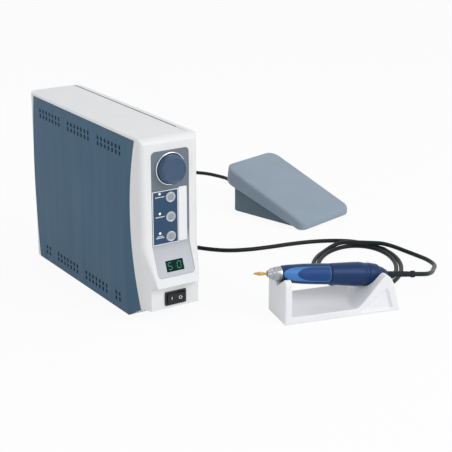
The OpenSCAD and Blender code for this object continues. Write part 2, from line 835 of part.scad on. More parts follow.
// A cord plug: a spigot in the socket and a ribbed grip behind the panel
plug_y = rear_y + 2.1;
module cord_plug(z, cord_d) {
    color("#1F2224") translate([0, plug_y, z]) rotate([-90, 0, 0]) {
        translate([0, 0, -spigot_l]) cylinder(d = spigot_d, h = spigot_l + e);
        rotate_extrude() polygon([[0, 0], [plug_d / 2, 0], [plug_d / 2, plug_len * 0.5],
            [plug_d / 2 - 1.5, plug_len * 0.6], [cord_d / 2 + 2, plug_len * 0.7],
            [cord_d / 2 + 1.2, plug_len], [0, plug_len]]);
    }
}
module motor_plug() { cord_plug(motor_z, motor_cord_d); }
module pedal_plug() { cord_plug(pedal_z, pedal_cord_d); }

// Handpiece: drawn up the z axis from the nose, then laid on the stand
nose_u = -12.7;
nose_z = 56.6;
hand_tilt = 7.3;
hand_v = stand_w / 2;
case_at = nose_l + sleeve_l;
cap_at = case_at + case_l;
cap_l = hand_l - cap_at;

module on_stand() {
    translate([stand_at[0], stand_at[1], 0]) rotate(stand_yaw) children();
}

module on_hand() {
    on_stand() translate([nose_u, hand_v, nose_z]) rotate([0, 90 + hand_tilt, 0]) children();
}

tube_d = bearing_d + 2 * tube_t;
bearing1_at = nose_l + 4;
bearing2_at = cap_at - 6;
shaft_end = bearing2_at + bearing_w + 0.5;
magnet_at = case_at + 6;

module nose_cone() {
    r1 = collet_d / 2 + run_gap;
    r2 = tube_d / 2;
    r3 = spindle_d / 2 + 1;
    rim = sleeve_d1 / 2 - 0.8;
    color("#C9CDD1") on_hand() rotate_extrude() polygon([[r1, 0], [3.2, 0], [3.8, 0.8], [4.8, 2.4],
        [6, 4.2], [7, 6.4], [6.7, 6.8], [6.7, 7.4], [7.4, 7.8], [8.1, 11], [rim - 0.2, 14],
        [rim, nose_l - slip_gap], [r2, nose_l - slip_gap], [r2, nose_l + 3], [r3, nose_l + 3],
        [r3, nose_l + 1.5], [r1, nose_l + 1.5]]);
}

module grip_sleeve() {
    r1 = sleeve_d1 / 2;
    r2 = sleeve_d2 / 2;
    l = sleeve_l - slip_gap;
    in1 = tube_d / 2 + slip_gap;
    color("#2E4A80") on_hand() translate([0, 0, nose_l]) rotate_extrude() difference() {
        union() {
            polygon([[in1, 0], [r1 - 0.8, 0], [r1, 1], [r1 + 0.9, 8], [r2 - 1.2, 20], [r2 - 0.6, 28],
                [r2 - 0.2, 42], [r2, l - 1], [r2 - 0.4, l], [in1, l]]);
        }
        polygon([[in1 - 1, 12], [r1 - hand_t, 12], [r2 - hand_t - 1.2, 24], [r2 - hand_t - 0.5, 40],
            [r2 - hand_t, l - 8], [in1 - 1, l - 8]]);
    }
}

module spindle_tube() {
    r = tube_d / 2;
    b = bearing_d / 2;
    s = spindle_d / 2 + 1;
    seat = bearing1_at + bearing_w;
    end = case_at + 2;
    flange = case_d / 2 - hand_t;
    color("#9AA0A6") on_hand() rotate_extrude() polygon([[b, nose_l + 3], [r, nose_l + 3], [r, end],
        [flange, end], [flange, end + 2], [s, end + 2], [s, seat], [b, seat]]);
}

module spindle_bearings() {
    color("#C4C8CC") on_hand() for (t = [bearing1_at, bearing2_at]) translate([0, 0, t]) rotate_extrude()
        translate([spindle_d / 2 + run_gap, 0]) square([bearing_d / 2 - spindle_d / 2 - run_gap, bearing_w]);
}

module motor_case() {
    r1 = sleeve_d2 / 2;
    r2 = case_d / 2;
    inner = r2 - hand_t;
    web = tube_d / 2 + slip_gap;
    l = case_l;
    color("#2E4A80") on_hand() translate([0, 0, case_at]) rotate_extrude()
        polygon([[inner, 4], [inner, 2], [web, 2], [web, 0], [r1 - 0.4, 0], [r1, 1], [r2, 14], [r2, l - 3],
            [r2 - 0.2, l], [inner, l]]);
}

module stator_coil() {
    l = magnet_l + 4;
    color("#B5763A") on_hand() translate([0, 0, magnet_at - 1]) rotate_extrude()
        translate([magnet_d / 2 + air_gap, 0]) square([case_d / 2 - hand_t - magnet_d / 2 - air_gap, l]);
}

module rotor_shaft() {
    color("#B9BDC2") on_hand() translate([0, 0, nose_l + 2])
        cylinder(d = spindle_d, h = shaft_end - nose_l - 2);
}

module rotor_magnet() {
    color("#55595E") on_hand() translate([0, 0, magnet_at + 1]) rotate_extrude()
        translate([spindle_d / 2, 0]) square([magnet_d / 2 - spindle_d / 2, magnet_l]);
}

module collet() {
    color("#A4A9AF") on_hand() rotate_extrude()
        translate([shank_d / 2, 0.2]) square([collet_d / 2 - shank_d / 2, nose_l + 1.8]);
}

module bur() {
    r = shank_d / 2;
    h = bur_d / 2;
    rear = bur_out + nose_l;
    color("#B59A5A") on_hand() translate([0, 0, -bur_out]) rotate_extrude()
        polygon([[0, 0], [0.7, 0.3], [h - 0.7, 4], [h, 8], [h - 0.2, 12], [r + 0.2, 14], [r, 15],
            [r, rear], [0, rear]]);
}

module rear_cap() {
    r = case_d / 2;
    b = bearing_d / 2;
    hub = bearing2_at - cap_at;
    inner = r - hand_t;
    bore = boot_d / 2;
    color("#2A4370") on_hand() translate([0, 0, cap_at]) rotate_extrude()
        polygon([[bore, 2.5], [b, 2.5], [b, hub], [inner, hub], [inner, 0], [r - 0.2, 0], [r - 0.4, 6],
            [r - 1.4, 13.2], [r - 2.4, 14.6], [r - 3.2, 15.2], [r - 4.2, 18], [r - 5.4, 21.6],
            [r - 7.4, cap_l - 2.7], [bore + 1.5, cap_l], [bore, cap_l]]);
}

module cord_boot() {
    r = boot_d / 2;
    end = cap_l + boot_l;
    color("#1F2A2A") on_hand() translate([0, 0, cap_at]) rotate_extrude() {
        polygon([[0, 3.5], [r, 3.5], [r, end - 5], [r + 0.9, end - 4.6], [r + 0.9, end - 0.4], [r + 0.5, end],
            [0, end]]);
    }
}

// Stand: side view along its length, then the trough, notch, cradle and recesses
module stand_view() {
    peak = stand_l - peak_back;
    polygon([[0, 0], [stand_l, 0], [stand_l - 0.24 * peak_back, 0.45 * peak_z],
        [stand_l - 0.44 * peak_back, 0.755 * peak_z], [peak + 0.37 * peak_back, peak_z - 4.4],
        [peak + 0.18 * peak_back, peak_z - 1.1], [peak, peak_z],
        [upright_t + 2, peak_z], [upright_t, hump_z + 8], [0, hump_z + 8]]);
}

// Ramp seen from the side: it leaves the trough softly, climbs straight and rolls over at the peak
module ramp_view() {
    low = trough_z - 3;
    rise = peak_z - low;
    foot = stand_l - peak_back - ramp_l;
    steps = [[0, 0], [0.1, 0.02], [0.19, 0.06], [0.28, 0.13], [0.38, 0.24], [0.52, 0.41], [0.66, 0.6],
        [0.79, 0.78], [0.87, 0.885], [0.93, 0.95], [1, 1]];
    polygon(concat([[upright_t, low]], [for (s = steps) [foot + ramp_l * s[0], low + rise * s[1]]],
        [[foot + ramp_l, 200], [upright_t, 200]]));
}

// View of the upright from its end: two humps beside the notch
notch_r = sleeve_d1 / 2 + 0.9 + cradle_gap;
notch_z = nose_z - (upright_t - nose_u) * tan(hand_tilt) - notch_r / cos(notch_slope);
module upright_view() {
    r = hump_r;
    rise = stand_w * tan(notch_slope);
    difference() {
        union() {
            translate([0, -1]) square([stand_w, hump_z - r + 1]);
            for (v = [r, stand_w - r]) translate([v, hump_z - r]) circle(r);
            translate([r, 0]) square([stand_w - 2 * r, hump_z]);
        }
        polygon([[hand_v, notch_z], [hand_v - stand_w, notch_z + rise], [hand_v + stand_w, notch_z + rise]]);
    }
}

// A bore along the handpiece's axis, open upwards
module axis_slot(d, t0, t1) {
    translate([nose_u, hand_v, nose_z]) rotate([0, 90 + hand_tilt, 0]) translate([0, 0, t0]) {
        cylinder(d = d, h = t1 - t0);
        translate([-60, -d / 2, 0]) cube([60, d, t1 - t0]);
    }
}

module stand_body() {
    trough_r = 70;
    trough_v = 14;
    tri = [[stand_l - 53, 3.5], [stand_l - 9.5, 3.5], [stand_l - peak_back + 2, peak_z - 17]];
    color("#E3E3E8") on_stand() difference() {
        translate([0, stand_w, 0]) rotate([90, 0, 0]) linear_extrude(stand_w) stand_view();
        // Hollow between the upright and the ramp: the higher of trough and ramp is its floor
        intersection() {
            translate([-1, trough_v, trough_z + trough_r - 1.4]) rotate([0, 90, 0])
                cylinder(r = trough_r, h = stand_l + 2, $fn = 128);
            translate([0, stand_w + 1, 0]) rotate([90, 0, 0]) linear_extrude(stand_w + 2) ramp_view();
        }
        // Everything of the upright above its humps
        difference() {
            translate([-1, -1, hump_z - 20]) cube([upright_t + 4, stand_w + 2, 60]);
            translate([-2, 0, 0]) rotate([90, 0, 90]) linear_extrude(upright_t + 6) upright_view();
        }
        // Cradle for the motor case and way out for the boot
        axis_slot(case_d + 2 * cradle_gap, case_at - 20, cap_at + cap_l + 40);
        for (v = [-1, stand_w - recess_t]) translate([0, v + recess_t + 1, 0]) rotate([90, 0, 0])
            linear_extrude(recess_t + 1) polygon(tri);
    }
}

// Foot pedal: low end at y = 0, high end at y = pedal_l
pedal_slope = (pedal_h - pedal_low) / pedal_l;
skirt_low = 1.5;
module on_pedal() {
    translate([pedal_at[0], pedal_at[1], 0]) rotate(pedal_yaw) children();
}

module pedal_plan(g) {
    w = pedal_w - 2 * g;
    intersection() {
        translate([0, g]) tongue(w, pedal_l, max(toe_r - g, 0.5));
        translate([0, pedal_l - g]) mirror([0, 1]) tongue(w, pedal_l, max(pedal_r - g, 0.5));
    }
}

module plate_view() {
    polygon([[0, skirt_low], [0, pedal_low], [pedal_l, pedal_h], [pedal_l, pedal_h - skirt_h],
        [pin_in, skirt_low]]);
}

boss_y = pedal_l * 0.6;
boss_z = pedal_low + boss_y * pedal_slope - 12;
base_floor = foot_h + pedal_t;
pin_half = pedal_w / 2 - 1.4;
module pedal_plate() {
    drop = pedal_t * sqrt(1 + pedal_slope * pedal_slope);
    color("#97A6B3") on_pedal() difference() {
        union() {
            difference() {
                intersection() {
                    linear_extrude(pedal_h) pedal_plan(0);
                    across(pedal_w) plate_view();
                }
                intersection() {
                    translate([0, 0, -1]) linear_extrude(pedal_h) pedal_plan(pedal_t);
                    translate([0, 0, -drop]) across(pedal_w)
                        polygon([[-1, -50], [-1, pedal_low - pedal_slope],
                            [pedal_l + 1, pedal_h + pedal_slope], [pedal_l + 1, -50]]);
                }
            }
            // Seat for the return spring
            intersection() {
                translate([0, boss_y, boss_z]) cylinder(d = spring_d + 6, h = pedal_h);
                translate([0, 0, -drop / 2]) across(pedal_w)
                    polygon([[0, 0], [0, pedal_low], [pedal_l, pedal_h], [pedal_l, 0]]);
            }
        }
        translate([-pin_half - 0.2, pin_in, pin_z]) rotate([0, 90, 0])
            cylinder(d = pin_d + 0.02, h = 2 * pin_half + 0.4);
    }
}

module pedal_base() {
    g = pedal_t + skirt_gap;
    high = pedal_h - skirt_h + 3;
    ear = pin_z + pin_d / 2 + 1.5;
    inner = pedal_w - 2 * g - 2 * pedal_t;
    color("#5F7382") on_pedal() difference() {
        intersection() {
            translate([0, 0, foot_h]) linear_extrude(pedal_h) pedal_plan(g);
            across(pedal_w) polygon([[0, 0], [0, 3.2], [g, 3.2], [pin_in, ear],
                [pin_in + 5, ear], [pedal_l, high], [pedal_l, 0]]);
        }
        translate([0, 0, base_floor]) linear_extrude(pedal_h) intersection() {
            pedal_plan(g + pedal_t);
            translate([-inner / 2, pin_in + pin_d + 2]) square([inner, pedal_l]);
        }
        translate([-pedal_w, pin_in, pin_z]) rotate([0, 90, 0])
            cylinder(d = pin_d + 2 * run_gap, h = 2 * pedal_w);
        translate([0, pedal_l - g - pedal_t - 1, gland_z]) rotate([-90, 0, 0])
            translate([gland_x, 0, 0]) cylinder(d = gland_d + 0.2, h = pedal_t + 3);
    }
}

module pedal_pin() {
    color("#B9BDC2") on_pedal() translate([-pin_half, pin_in, pin_z]) rotate([0, 90, 0])
        cylinder(d = pin_d, h = 2 * pin_half);
}

module pedal_feet() {
    g = pedal_t + skirt_gap;
    color("#26292B") on_pedal() for (s = [-1, 1], y = [g + 14, pedal_l - g - 20])
        translate([s * (pedal_w / 2 - g - 16), y, 0]) cylinder(d = 14, h = foot_h);
}

// Sensor board on the base's floor, between the spring and the right wall
sensor_w = 24;
sensor_l = 30;
sensor_gap = 3;
module pedal_sensor() {
    left = pedal_w / 2 - skirt_gap - 2 * pedal_t - sensor_gap - sensor_w;
    color("#2F6B3A") on_pedal() translate([left, boss_y - sensor_l / 2, base_floor]) {
        cube([sensor_w, sensor_l, board_t]);
        translate([sensor_w / 2 - 3, sensor_l / 2 - 3, board_t - e]) cube([6, 6, 8]);
    }
}

// Cord gland in the base's rear wall
gland_d = 9;
gland_x = 24;
gland_z = 22;
gland_out = 12;
gland_y = pedal_l - pedal_t - skirt_gap;
module pedal_gland() {
    color("#1F2224") on_pedal() translate([gland_x, gland_y, gland_z]) rotate([-90, 0, 0]) {
        translate([0, 0, -pedal_t - 2]) cylinder(d = gland_d, h = pedal_t + 2 + e);
        translate([0, 0, -pedal_t - 4]) cylinder(d = gland_d + 3, h = 3.8);
        cylinder(d1 = gland_d + 2, d2 = pedal_cord_d + 2.4, h = gland_out);
    }
}

// Sweeping: one closed tube along a list of points
function unit(v) = v / norm(v);
function heading(p, i) = unit(p[min(i + 1, len(p) - 1)] - p[max(i - 1, 0)]);
function carried(n, t) = unit(n - (n * t) * t);
function normals(p, n, i = 0) = i >= len(p) ? [] :
    let (m = carried(n, heading(p, i))) concat([m], normals(p, m, i + 1));
function ring(c, t, n, r, sides) =
    let (b = cross(t, n)) [for (k = [0 : sides - 1]) let (a = 360 * k / sides)
        c + r * (cos(a) * n + sin(a) * b)];

module tube(p, d, sides, up = [0, 0, 1]) {
    ns = normals(p, up);
    pts = [for (i = [0 : len(p) - 1]) each ring(p[i], heading(p, i), ns[i], d / 2, sides)];
    n = len(p);
    walls = [for (i = [0 : n - 2], k = [0 : sides - 1])
        let (a = i * sides + k, b = i * sides + (k + 1) % sides)
        each [[a, b, b + sides], [a, b + sides, a + sides]]];
    first = [for (k = [1 : sides - 2]) [0, k + 1, k]];
    last = [for (k = [1 : sides - 2]) [(n - 1) * sides, (n - 1) * sides + k, (n - 1) * sides + k + 1]];
    polyhedron(pts, concat(first, walls, last));
}

// Smooth curve through hand-chosen points, with a middle point in each step; the ends stay straight
function eased(p) = let (n = len(p)) [for (i = [0 : n - 1]) each i == n - 1 ? [p[i]] :
    let (a = p[max(i - 1, 0)], b = p[i], c = p[i + 1], d = p[min(i + 2, n - 1)])
    i == 0 || i == n - 2 ? [b] : [b, (9 * (b + c) - a - d) / 16]];

// Least distance between points of a path that are far apart along it, less the tube's diameter
function self_gap(p, d, apart) = let (n = len(p) - 1)
    min([for (i = [0 : n], j = [i + apart : 1 : n]) norm(p[i] - p[j])]) - d;

function on_table(a, yaw, p) = let (c = cos(yaw), s = sin(yaw))
    [a[0] + p[0] * c - p[1] * s, a[1] + p[0] * s + p[1] * c, p[2]];

pedal_spring_h = boss_z - base_floor;
module pedal_spring() {
    steps = spring_turns * 12;
    rise = pedal_spring_h - spring_wire - 0.4;
    p = [for (i = [0 : steps]) let (a = 30 * i) [spring_d / 2 * cos(a), spring_d / 2 * sin(a),
        base_floor + spring_wire / 2 + 0.2 + rise * i / steps]];
    echo(spring_gap = self_gap(p, spring_wire, 8));
    color("#B9BDC2") on_pedal() translate([0, boss_y, 0]) tube(p, spring_wire, 6);
}

// Motor cord: lead from the plug, loops on the table, tail into the boot
mc = motor_cord_d / 2;
loop_c = [286.3, -127.3];
loop_a = 86;
loop_b = 56;
loop_turn = 51.25;
loop_step = motor_cord_d + turn_gap;
loop_from = 42;
loop_to = loop_from + 360 * loop_turns - 300;
function wound(a) = loop_step * (a - loop_from) / 360;
function loop_at(a, in, z) = on_table(loop_c, loop_turn,
    [(loop_a - in) * cos(a), -(loop_b - in) * sin(a), z]);
function loop_point(a) = loop_at(a, wound(a), mc);
loop_path = [for (a = [loop_from : 15 : loop_to]) loop_point(a)];

boot_end = hand_l + boot_l;
function hand_point(t) = on_table(stand_at, stand_yaw,
    [nose_u + t * cos(hand_tilt), hand_v, nose_z - t * sin(hand_tilt)]);

lead_end = loop_path[0];
lead_dir = unit(loop_path[1] - loop_path[0]);
motor_lead_route = concat([[0, plug_y + plug_len, motor_z], [0, plug_y + plug_len + 6, motor_z]],
    [[1.6, 214, 67], [8, 228, 52], [18, 236, 32], [32, 236, 14], [48, 226, 4], [64, 208, mc], [82, 180, mc],
    [104, 140, mc], [126, 96, mc], [142, 62, mc], [158, 36, mc], [178, 16, mc], [204, 4, mc], [233, -3, mc],
    [262, -8, mc], [290, -15, mc], [314, -25, mc], [334, -38.5, mc], [346.5, -55, mc], [353.5, -77, mc]],
    [lead_end - 8 * lead_dir, lead_end]);

// The tail rises over the first turn at the near end of the loop, lies outside it, and climbs over all turns
function soft_step(t) = let (u = min(max(t, 0), 1)) u * u * (3 - 2 * u);
function tail_point(a) = let (
        out = 2 * loop_step * soft_step((a - loop_to - 33) / 75),
        up = soft_step((a - loop_to - 3) / 35) - soft_step((a - loop_to - 110) / 36))
    loop_at(a, wound(a) - out, mc + up * (motor_cord_d + 0.5));
motor_tail_route = concat([for (a = [loop_to : 12 : loop_to + 204]) tail_point(a)],
    [[293.5, -53, 3.6], [304, -51.6, 6], [314, -54, 8.4], [324.5, -59.8, 9], [335.5, -67.6, 9],
    [347, -77, 9], [358, -87.5, 9], [367.5, -99.5, 6.6], [374.5, -114.5, 3.8], [378, -134, mc],
    [378.5, -156, mc], [371, -178, 4], [348, -202, 10.5], [327, -223, 18], [311, -237, 24],
    [298, -245.5, 28.2]],
    [hand_point(boot_end + 8), hand_point(boot_end)]);

module motor_cord_lead() {
    color("#1F2A2A") tube(eased(motor_lead_route), motor_cord_d, 8);
}

module motor_cord_loop() {
    echo(loop_gap = self_gap(loop_path, motor_cord_d, 12));
    color("#1F2A2A") tube(loop_path, motor_cord_d, 8);
}

module motor_cord_tail() {
    color("#1F2A2A") tube(eased(motor_tail_route), motor_cord_d, 8);
}

// Pedal cord: a stretch from the gland, a coil behind the unit
pc = pedal_cord_d / 2;
coil_c = [130, 272];
coil_r = 41;
coil_step = pedal_cord_d + turn_gap;
coil_lift = pedal_cord_d + turn_gap;
coil_half = 360 * coil_turns;
// Angle a runs in through the lower layer, climbs in half a turn, and runs out through the upper layer
function coil_point(a) = let (
        s = a <= coil_half ? a :
            a <= coil_half + 180 ? coil_half + 70 * sin(a - coil_half) : 2 * coil_half + 180 - a,
        k = a <= coil_half ? 0 : a <= coil_half + 180 ? (a - coil_half) / 180 : 1,
        r = coil_r - coil_step * s / 360)
    [coil_c[0] + r * cos(a), coil_c[1] - r * sin(a), pc + coil_lift * k];
coil_path = [for (a = [0 : 15 : 2 * coil_half + 90]) coil_point(a)];

module pedal_cord_coil() {
    echo(coil_gap = self_gap(coil_path, pedal_cord_d, 12));
    color("#1F2A2A") tube(coil_path, pedal_cord_d, 6);
}

gland_tip = on_table(pedal_at, pedal_yaw, [gland_x, gland_y + gland_out, gland_z]);
gland_run = on_table(pedal_at, pedal_yaw, [gland_x, gland_y + gland_out + 6, gland_z]);
coil_in = coil_path[0];
pedal_route = concat([gland_tip, gland_run],
    [[342.2, 210, 21.4], [341.8, 222, 18.4], [345, 238, 12.4], [351, 259, 6.2], [357, 282, pc + 0.4],
    [358.5, 304, pc], [354, 322, pc], [347, 340, pc], [334, 356, pc], [314, 367, pc], [288, 371, pc],
    [260, 364, pc], [232, 348, pc], [207, 327, pc], [186, 304, pc]],
    [coil_in + [0, 8, 0], coil_in]);

coil_out = coil_path[len(coil_path) - 1];
pedal_lead_route = concat([coil_out, coil_out + [-8, 0, 0]],
    [[108, 234, 7], [94, 236, 5.5], [78, 238, 4.6], [62, 239, 9], [48, 239, 20], [35, 238, 36], [24, 236, 53],
    [16, 232.5, 68], [9.5, 227.5, 80.5], [4.6, 221, 90.5], [1.2, 212.5, 97.6]],
    [[0, plug_y + plug_len + 6, pedal_z], [0, plug_y + plug_len, pedal_z]]);

module pedal_cord_lead() {
    color("#1F2A2A") tube(eased(pedal_lead_route), pedal_cord_d, 8);
}

module pedal_cord() {
    color("#1F2A2A") tube(eased(pedal_route), pedal_cord_d, 8);
}

front_housing();
front_fascia();
knob_ring();
speed_knob();
knob_shaft();
speed_potentiometer();
key_label();
label_strip();
upper_button();
middle_button();
lower_button();
indicator_lenses();
display_window();
display_module();
control_board();
tact_switches();
switch_frame();
power_rocker();
top_cover();
left_panel();
right_panel();
rear_cover();
base_tray();
cover_screws();
transformer_core();
transformer_coil();
main_board();
capacitors();
heat_sink();
mains_inlet();
fuse_holder();
cord_sockets();
bur();
nose_cone();
grip_sleeve();
motor_case();
rear_cap();
cord_boot();
collet();
spindle_tube();
rotor_shaft();
rotor_magnet();
stator_coil();
spindle_bearings();
stand_body();
pedal_plate();
pedal_base();
pedal_pin();
pedal_spring();
pedal_sensor();
pedal_feet();
pedal_gland();
motor_cord_lead();
motor_cord_loop();
motor_cord_tail();
motor_plug();
pedal_cord();
pedal_cord_coil();
pedal_cord_lead();
pedal_plug();
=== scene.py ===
"""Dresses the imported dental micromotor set: control unit, handpiece on its stand, foot pedal and two cords.

Sizes are in millimetres, and MM turns them to metres; the studio's own places are in metres.
"""

import logging
import math
from dataclasses import dataclass
from enum import Enum
from typing import Any, Callable, Sequence

import bmesh
import bpy
import numpy as np
from mathutils import Matrix, Vector


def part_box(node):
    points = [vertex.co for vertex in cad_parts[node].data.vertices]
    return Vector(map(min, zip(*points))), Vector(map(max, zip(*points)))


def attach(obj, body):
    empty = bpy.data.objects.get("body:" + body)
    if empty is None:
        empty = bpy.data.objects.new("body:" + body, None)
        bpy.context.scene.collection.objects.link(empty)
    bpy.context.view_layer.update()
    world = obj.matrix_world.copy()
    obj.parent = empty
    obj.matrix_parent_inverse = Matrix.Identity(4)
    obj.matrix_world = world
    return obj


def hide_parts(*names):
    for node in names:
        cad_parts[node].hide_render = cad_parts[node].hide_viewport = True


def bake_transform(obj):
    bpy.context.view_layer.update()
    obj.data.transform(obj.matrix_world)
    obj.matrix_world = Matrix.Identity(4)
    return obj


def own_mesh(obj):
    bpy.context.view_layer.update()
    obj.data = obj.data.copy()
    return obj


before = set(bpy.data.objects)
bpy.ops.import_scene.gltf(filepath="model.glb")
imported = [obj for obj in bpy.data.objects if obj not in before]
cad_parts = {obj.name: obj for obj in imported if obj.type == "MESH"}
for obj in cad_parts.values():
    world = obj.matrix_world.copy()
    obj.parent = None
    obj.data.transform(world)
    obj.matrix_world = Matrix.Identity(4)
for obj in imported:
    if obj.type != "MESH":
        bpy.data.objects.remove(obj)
NODES: dict[str, bpy.types.Object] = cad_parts
LOG = logging.getLogger("micromotor_set")
MM = 0.001
Profile = list[tuple[float, float]]
Spot = tuple[float, float, float]
# The handpiece on its stand: where its nose is and the axis from there to the cord.
HAND_NOSE: Spot = (91.752, -201.503, 56.6)
HAND_AXIS: Spot = (0.965291, -0.228185, -0.127065)
# The pedal: the middle of its toe on the table, and its turn in degrees.
PEDAL_AT: tuple[float, float] = (362.0, 45.4)
PEDAL_YAW = 15.3


def linear(code: str) -> tuple[float, float, float, float]:
    """Turns an sRGB hex colour to linear light.

    Args:
        code: Colour such as "#44607A".

    Returns:
        Red, green, blue and a full alpha.
    """
    parts = [int(code[i:i + 2], 16) / 255 for i in (1, 3, 5)]
    light = [c / 12.92 if c <= 0.04045 else ((c + 0.055) / 1.055) ** 2.4 for c in parts]
    return (light[0], light[1], light[2], 1.0)


def add(tree: bpy.types.NodeTree, kind: str, settings: dict[str, Any] | None = None,
        sockets: dict[Any, Any] | None = None) -> bpy.types.Node:
    """Adds a node to a tree.

    Args:
        tree: Shader or geometry tree.
        kind: The node's type name.
        settings: Properties of the node.
        sockets: Input name or number, with a constant or an output socket to link.

    Returns:
        The new node.
    """
    node = tree.nodes.new(kind)
    for name, value in (settings or {}).items():
        setattr(node, name, value)
    for name, value in (sockets or {}).items():
        if isinstance(value, bpy.types.NodeSocket):
            tree.links.new(value, node.inputs[name])
        else:
            node.inputs[name].default_value = value
    return node


class Surface(Enum):
    """How a surface was made: its coordinates, how the pattern stretches along them, and its texture node."""

    MOULDED = ("Object", (1.0, 1.0, 1.0), "ShaderNodeTexNoise")
    SPARK = ("Object", (1.0, 1.0, 1.0), "ShaderNodeTexVoronoi")
    STREAKED = ("Object", (1.0, 1.0, 0.015), "ShaderNodeTexNoise")
    BRUSHED = ("Object", (1.0, 1.0, 0.03), "ShaderNodeTexNoise")
    TURNED = ("UV", (0.002, 1.0, 1.0), "ShaderNodeTexNoise")
    JACKET = ("UV", (0.012, 0.02, 1.0), "ShaderNodeTexNoise")
    WOUND = ("Object", (0.0, 0.0, 1.0), "ShaderNodeTexWave")


@dataclass(frozen=True)
class Finish:
    """A material: what the piece is made of and how its surface was made."""

    name: str
    colour: str
    tone: str
    surface: Surface
    grain: float
    relief: float
    roughness: float
    metallic: float = 0.0
    ior: float = 1.5
    coat: float = 0.0
    spread: float = 0.08
    patch: float = 40.0
    glow: float = 0.0
    gloss: float = 0.3

    def paint(self, tree: bpy.types.NodeTree, pattern: bpy.types.NodeSocket) -> bpy.types.NodeSocket:
        """Drifts the colour towards its second tone.

        Args:
            tree: The material's tree.
            pattern: The surface pattern's output.

        Returns:
            The colour output.
        """
        place = add(tree, "ShaderNodeTexCoord").outputs["Object"]
        drift = add(tree, "ShaderNodeTexNoise", None,
                    {"Vector": place, "Scale": 1 / (self.patch * MM), "Detail": 3.0}).outputs[0]
        both = add(tree, "ShaderNodeMath", {"operation": "MULTIPLY_ADD"},
                   {0: pattern, 1: 0.5, 2: drift}).outputs[0]
        share = add(tree, "ShaderNodeMapRange", None, {"Value": both, 1: 0.45, 2: 1.05}).outputs[0]
        return add(tree, "ShaderNodeMix", {"data_type": "RGBA"},
                   {0: share, 6: linear(self.colour), 7: linear(self.tone)}).outputs[2]

    def material(self) -> bpy.types.Material:
        """Builds the material once.

        Returns:
            The material, new or already made.
        """
        found = bpy.data.materials.get(self.name)
        if found:
            return found
        material = bpy.data.materials.new(self.name)
        material.use_nodes = True
        tree = material.node_tree
        shader = tree.nodes["Principled BSDF"]
        coordinate, stretch, kind = self.surface.value
        place = add(tree, "ShaderNodeTexCoord").outputs[coordinate]
        scale = tuple(s / (self.grain * MM) for s in stretch)
        mapped = add(tree, "ShaderNodeMapping", None, {"Vector": place, "Scale": scale}).outputs[0]
        pattern = add(tree, kind, None, {"Vector": mapped, "Scale": 1.0}).outputs[0]
        rough = add(tree, "ShaderNodeMapRange", None, {
            "Value": pattern, 1: 0.3, 2: 0.7, 3: max(self.roughness - self.spread, 0.03),
            4: self.roughness + self.spread}).outputs[0]
        bump = add(tree, "ShaderNodeBump", None, {"Distance": self.relief * MM, "Height": pattern}).outputs[0]
        tree.links.new(self.paint(tree, pattern), shader.inputs["Base Color"])
        tree.links.new(rough, shader.inputs["Roughness"])
        tree.links.new(bump, shader.inputs["Normal"])
        shader.inputs["Metallic"].default_value = self.metallic
        shader.inputs["IOR"].default_value = self.ior
        shader.inputs["Specular IOR Level"].default_value = self.gloss
        shader.inputs["Coat Weight"].default_value = self.coat
        shader.inputs["Coat Roughness"].default_value = 0.12
        if self.glow:
            shader.inputs["Emission Color"].default_value = linear(self.colour)
            shader.inputs["Emission Strength"].default_value = self.glow
        return material


@dataclass(frozen=True)
class FadedFinish(Finish):
    """A finish whose colour fades with height, from a low shade to a high one: painted light, paler where a
    face tilts up towards the lamps.
    """

    low: str = "#FFFFFF"
    low_z: float = 0.0
    high_z: float = 100.0

    def paint(self, tree: bpy.types.NodeTree, pattern: bpy.types.NodeSocket) -> bpy.types.NodeSocket:
        """Mixes the low shade in by height.

        Args:
            tree: The material's tree.
            pattern: The surface pattern's output.

        Returns:
            The colour output.
        """
        body = super().paint(tree, pattern)
        place = add(tree, "ShaderNodeTexCoord").outputs["Object"]
        height = add(tree, "ShaderNodeSeparateXYZ", None, {0: place}).outputs["Z"]
        share = add(tree, "ShaderNodeMapRange", {"interpolation_type": "SMOOTHSTEP"},
                    {"Value": height, 1: self.low_z * MM, 2: self.high_z * MM}).outputs[0]
        return add(tree, "ShaderNodeMix", {"data_type": "RGBA"},
                   {0: share, 6: linear(self.low), 7: body}).outputs[2]


# White ABS with a fine spark-eroded texture: soft, even highlights and a hint of cool grey in the shade.
# Moulded grain is about 0.1 mm; the grains here are drawn near 1 mm so that they show.
WHITE_ABS = Finish("White ABS, fine texture", "#EDEEEF", "#E6E8EA", Surface.MOULDED, 1.0, 0.02, 0.48,
                   ior=1.53)
# Stand ABS: the same plastic, a touch whiter and smoother, so the trough shades gently.
STAND_ABS = Finish("Stand ABS, satin", "#F2F3F5", "#ECEDF1", Surface.MOULDED, 1.2, 0.015, 0.42, ior=1.53)
# Blue ABS covers: painted satin, with faint upright streaks from the mould.
BLUE_ABS = Finish("Blue ABS, satin, streaked", "#3F6078", "#466780", Surface.STREAKED, 3.0, 0.02, 0.5,
                  ior=1.53, patch=120.0, gloss=0.15)
# Polycarbonate fascia with a metallic silver backing, dark above; the pale tone on the console, which tilts
# up towards the lamps, is painted light.
FASCIA_FILM_PAINTED_LIGHT = FadedFinish("Polycarbonate fascia, silver backed, painted light below", "#6C7881", "#747F88", Surface.BRUSHED, 0.8,
                          0.005, 0.38, ior=1.58, gloss=0.25, low="#C2C5CC", low_z=84.0, high_z=112.0)
# Printed polyester films: a matt blue key label and a white strip, both with a soft sheen.
LABEL_FILM = Finish("Polyester film, printed blue", "#2C4763", "#31506D", Surface.MOULDED, 0.8, 0.006, 0.42,
                    ior=1.57, gloss=0.2)
WHITE_FILM = Finish("Polyester film, white", "#F2F3F5", "#ECEEF2", Surface.MOULDED, 0.8, 0.006, 0.42,
                    ior=1.57)
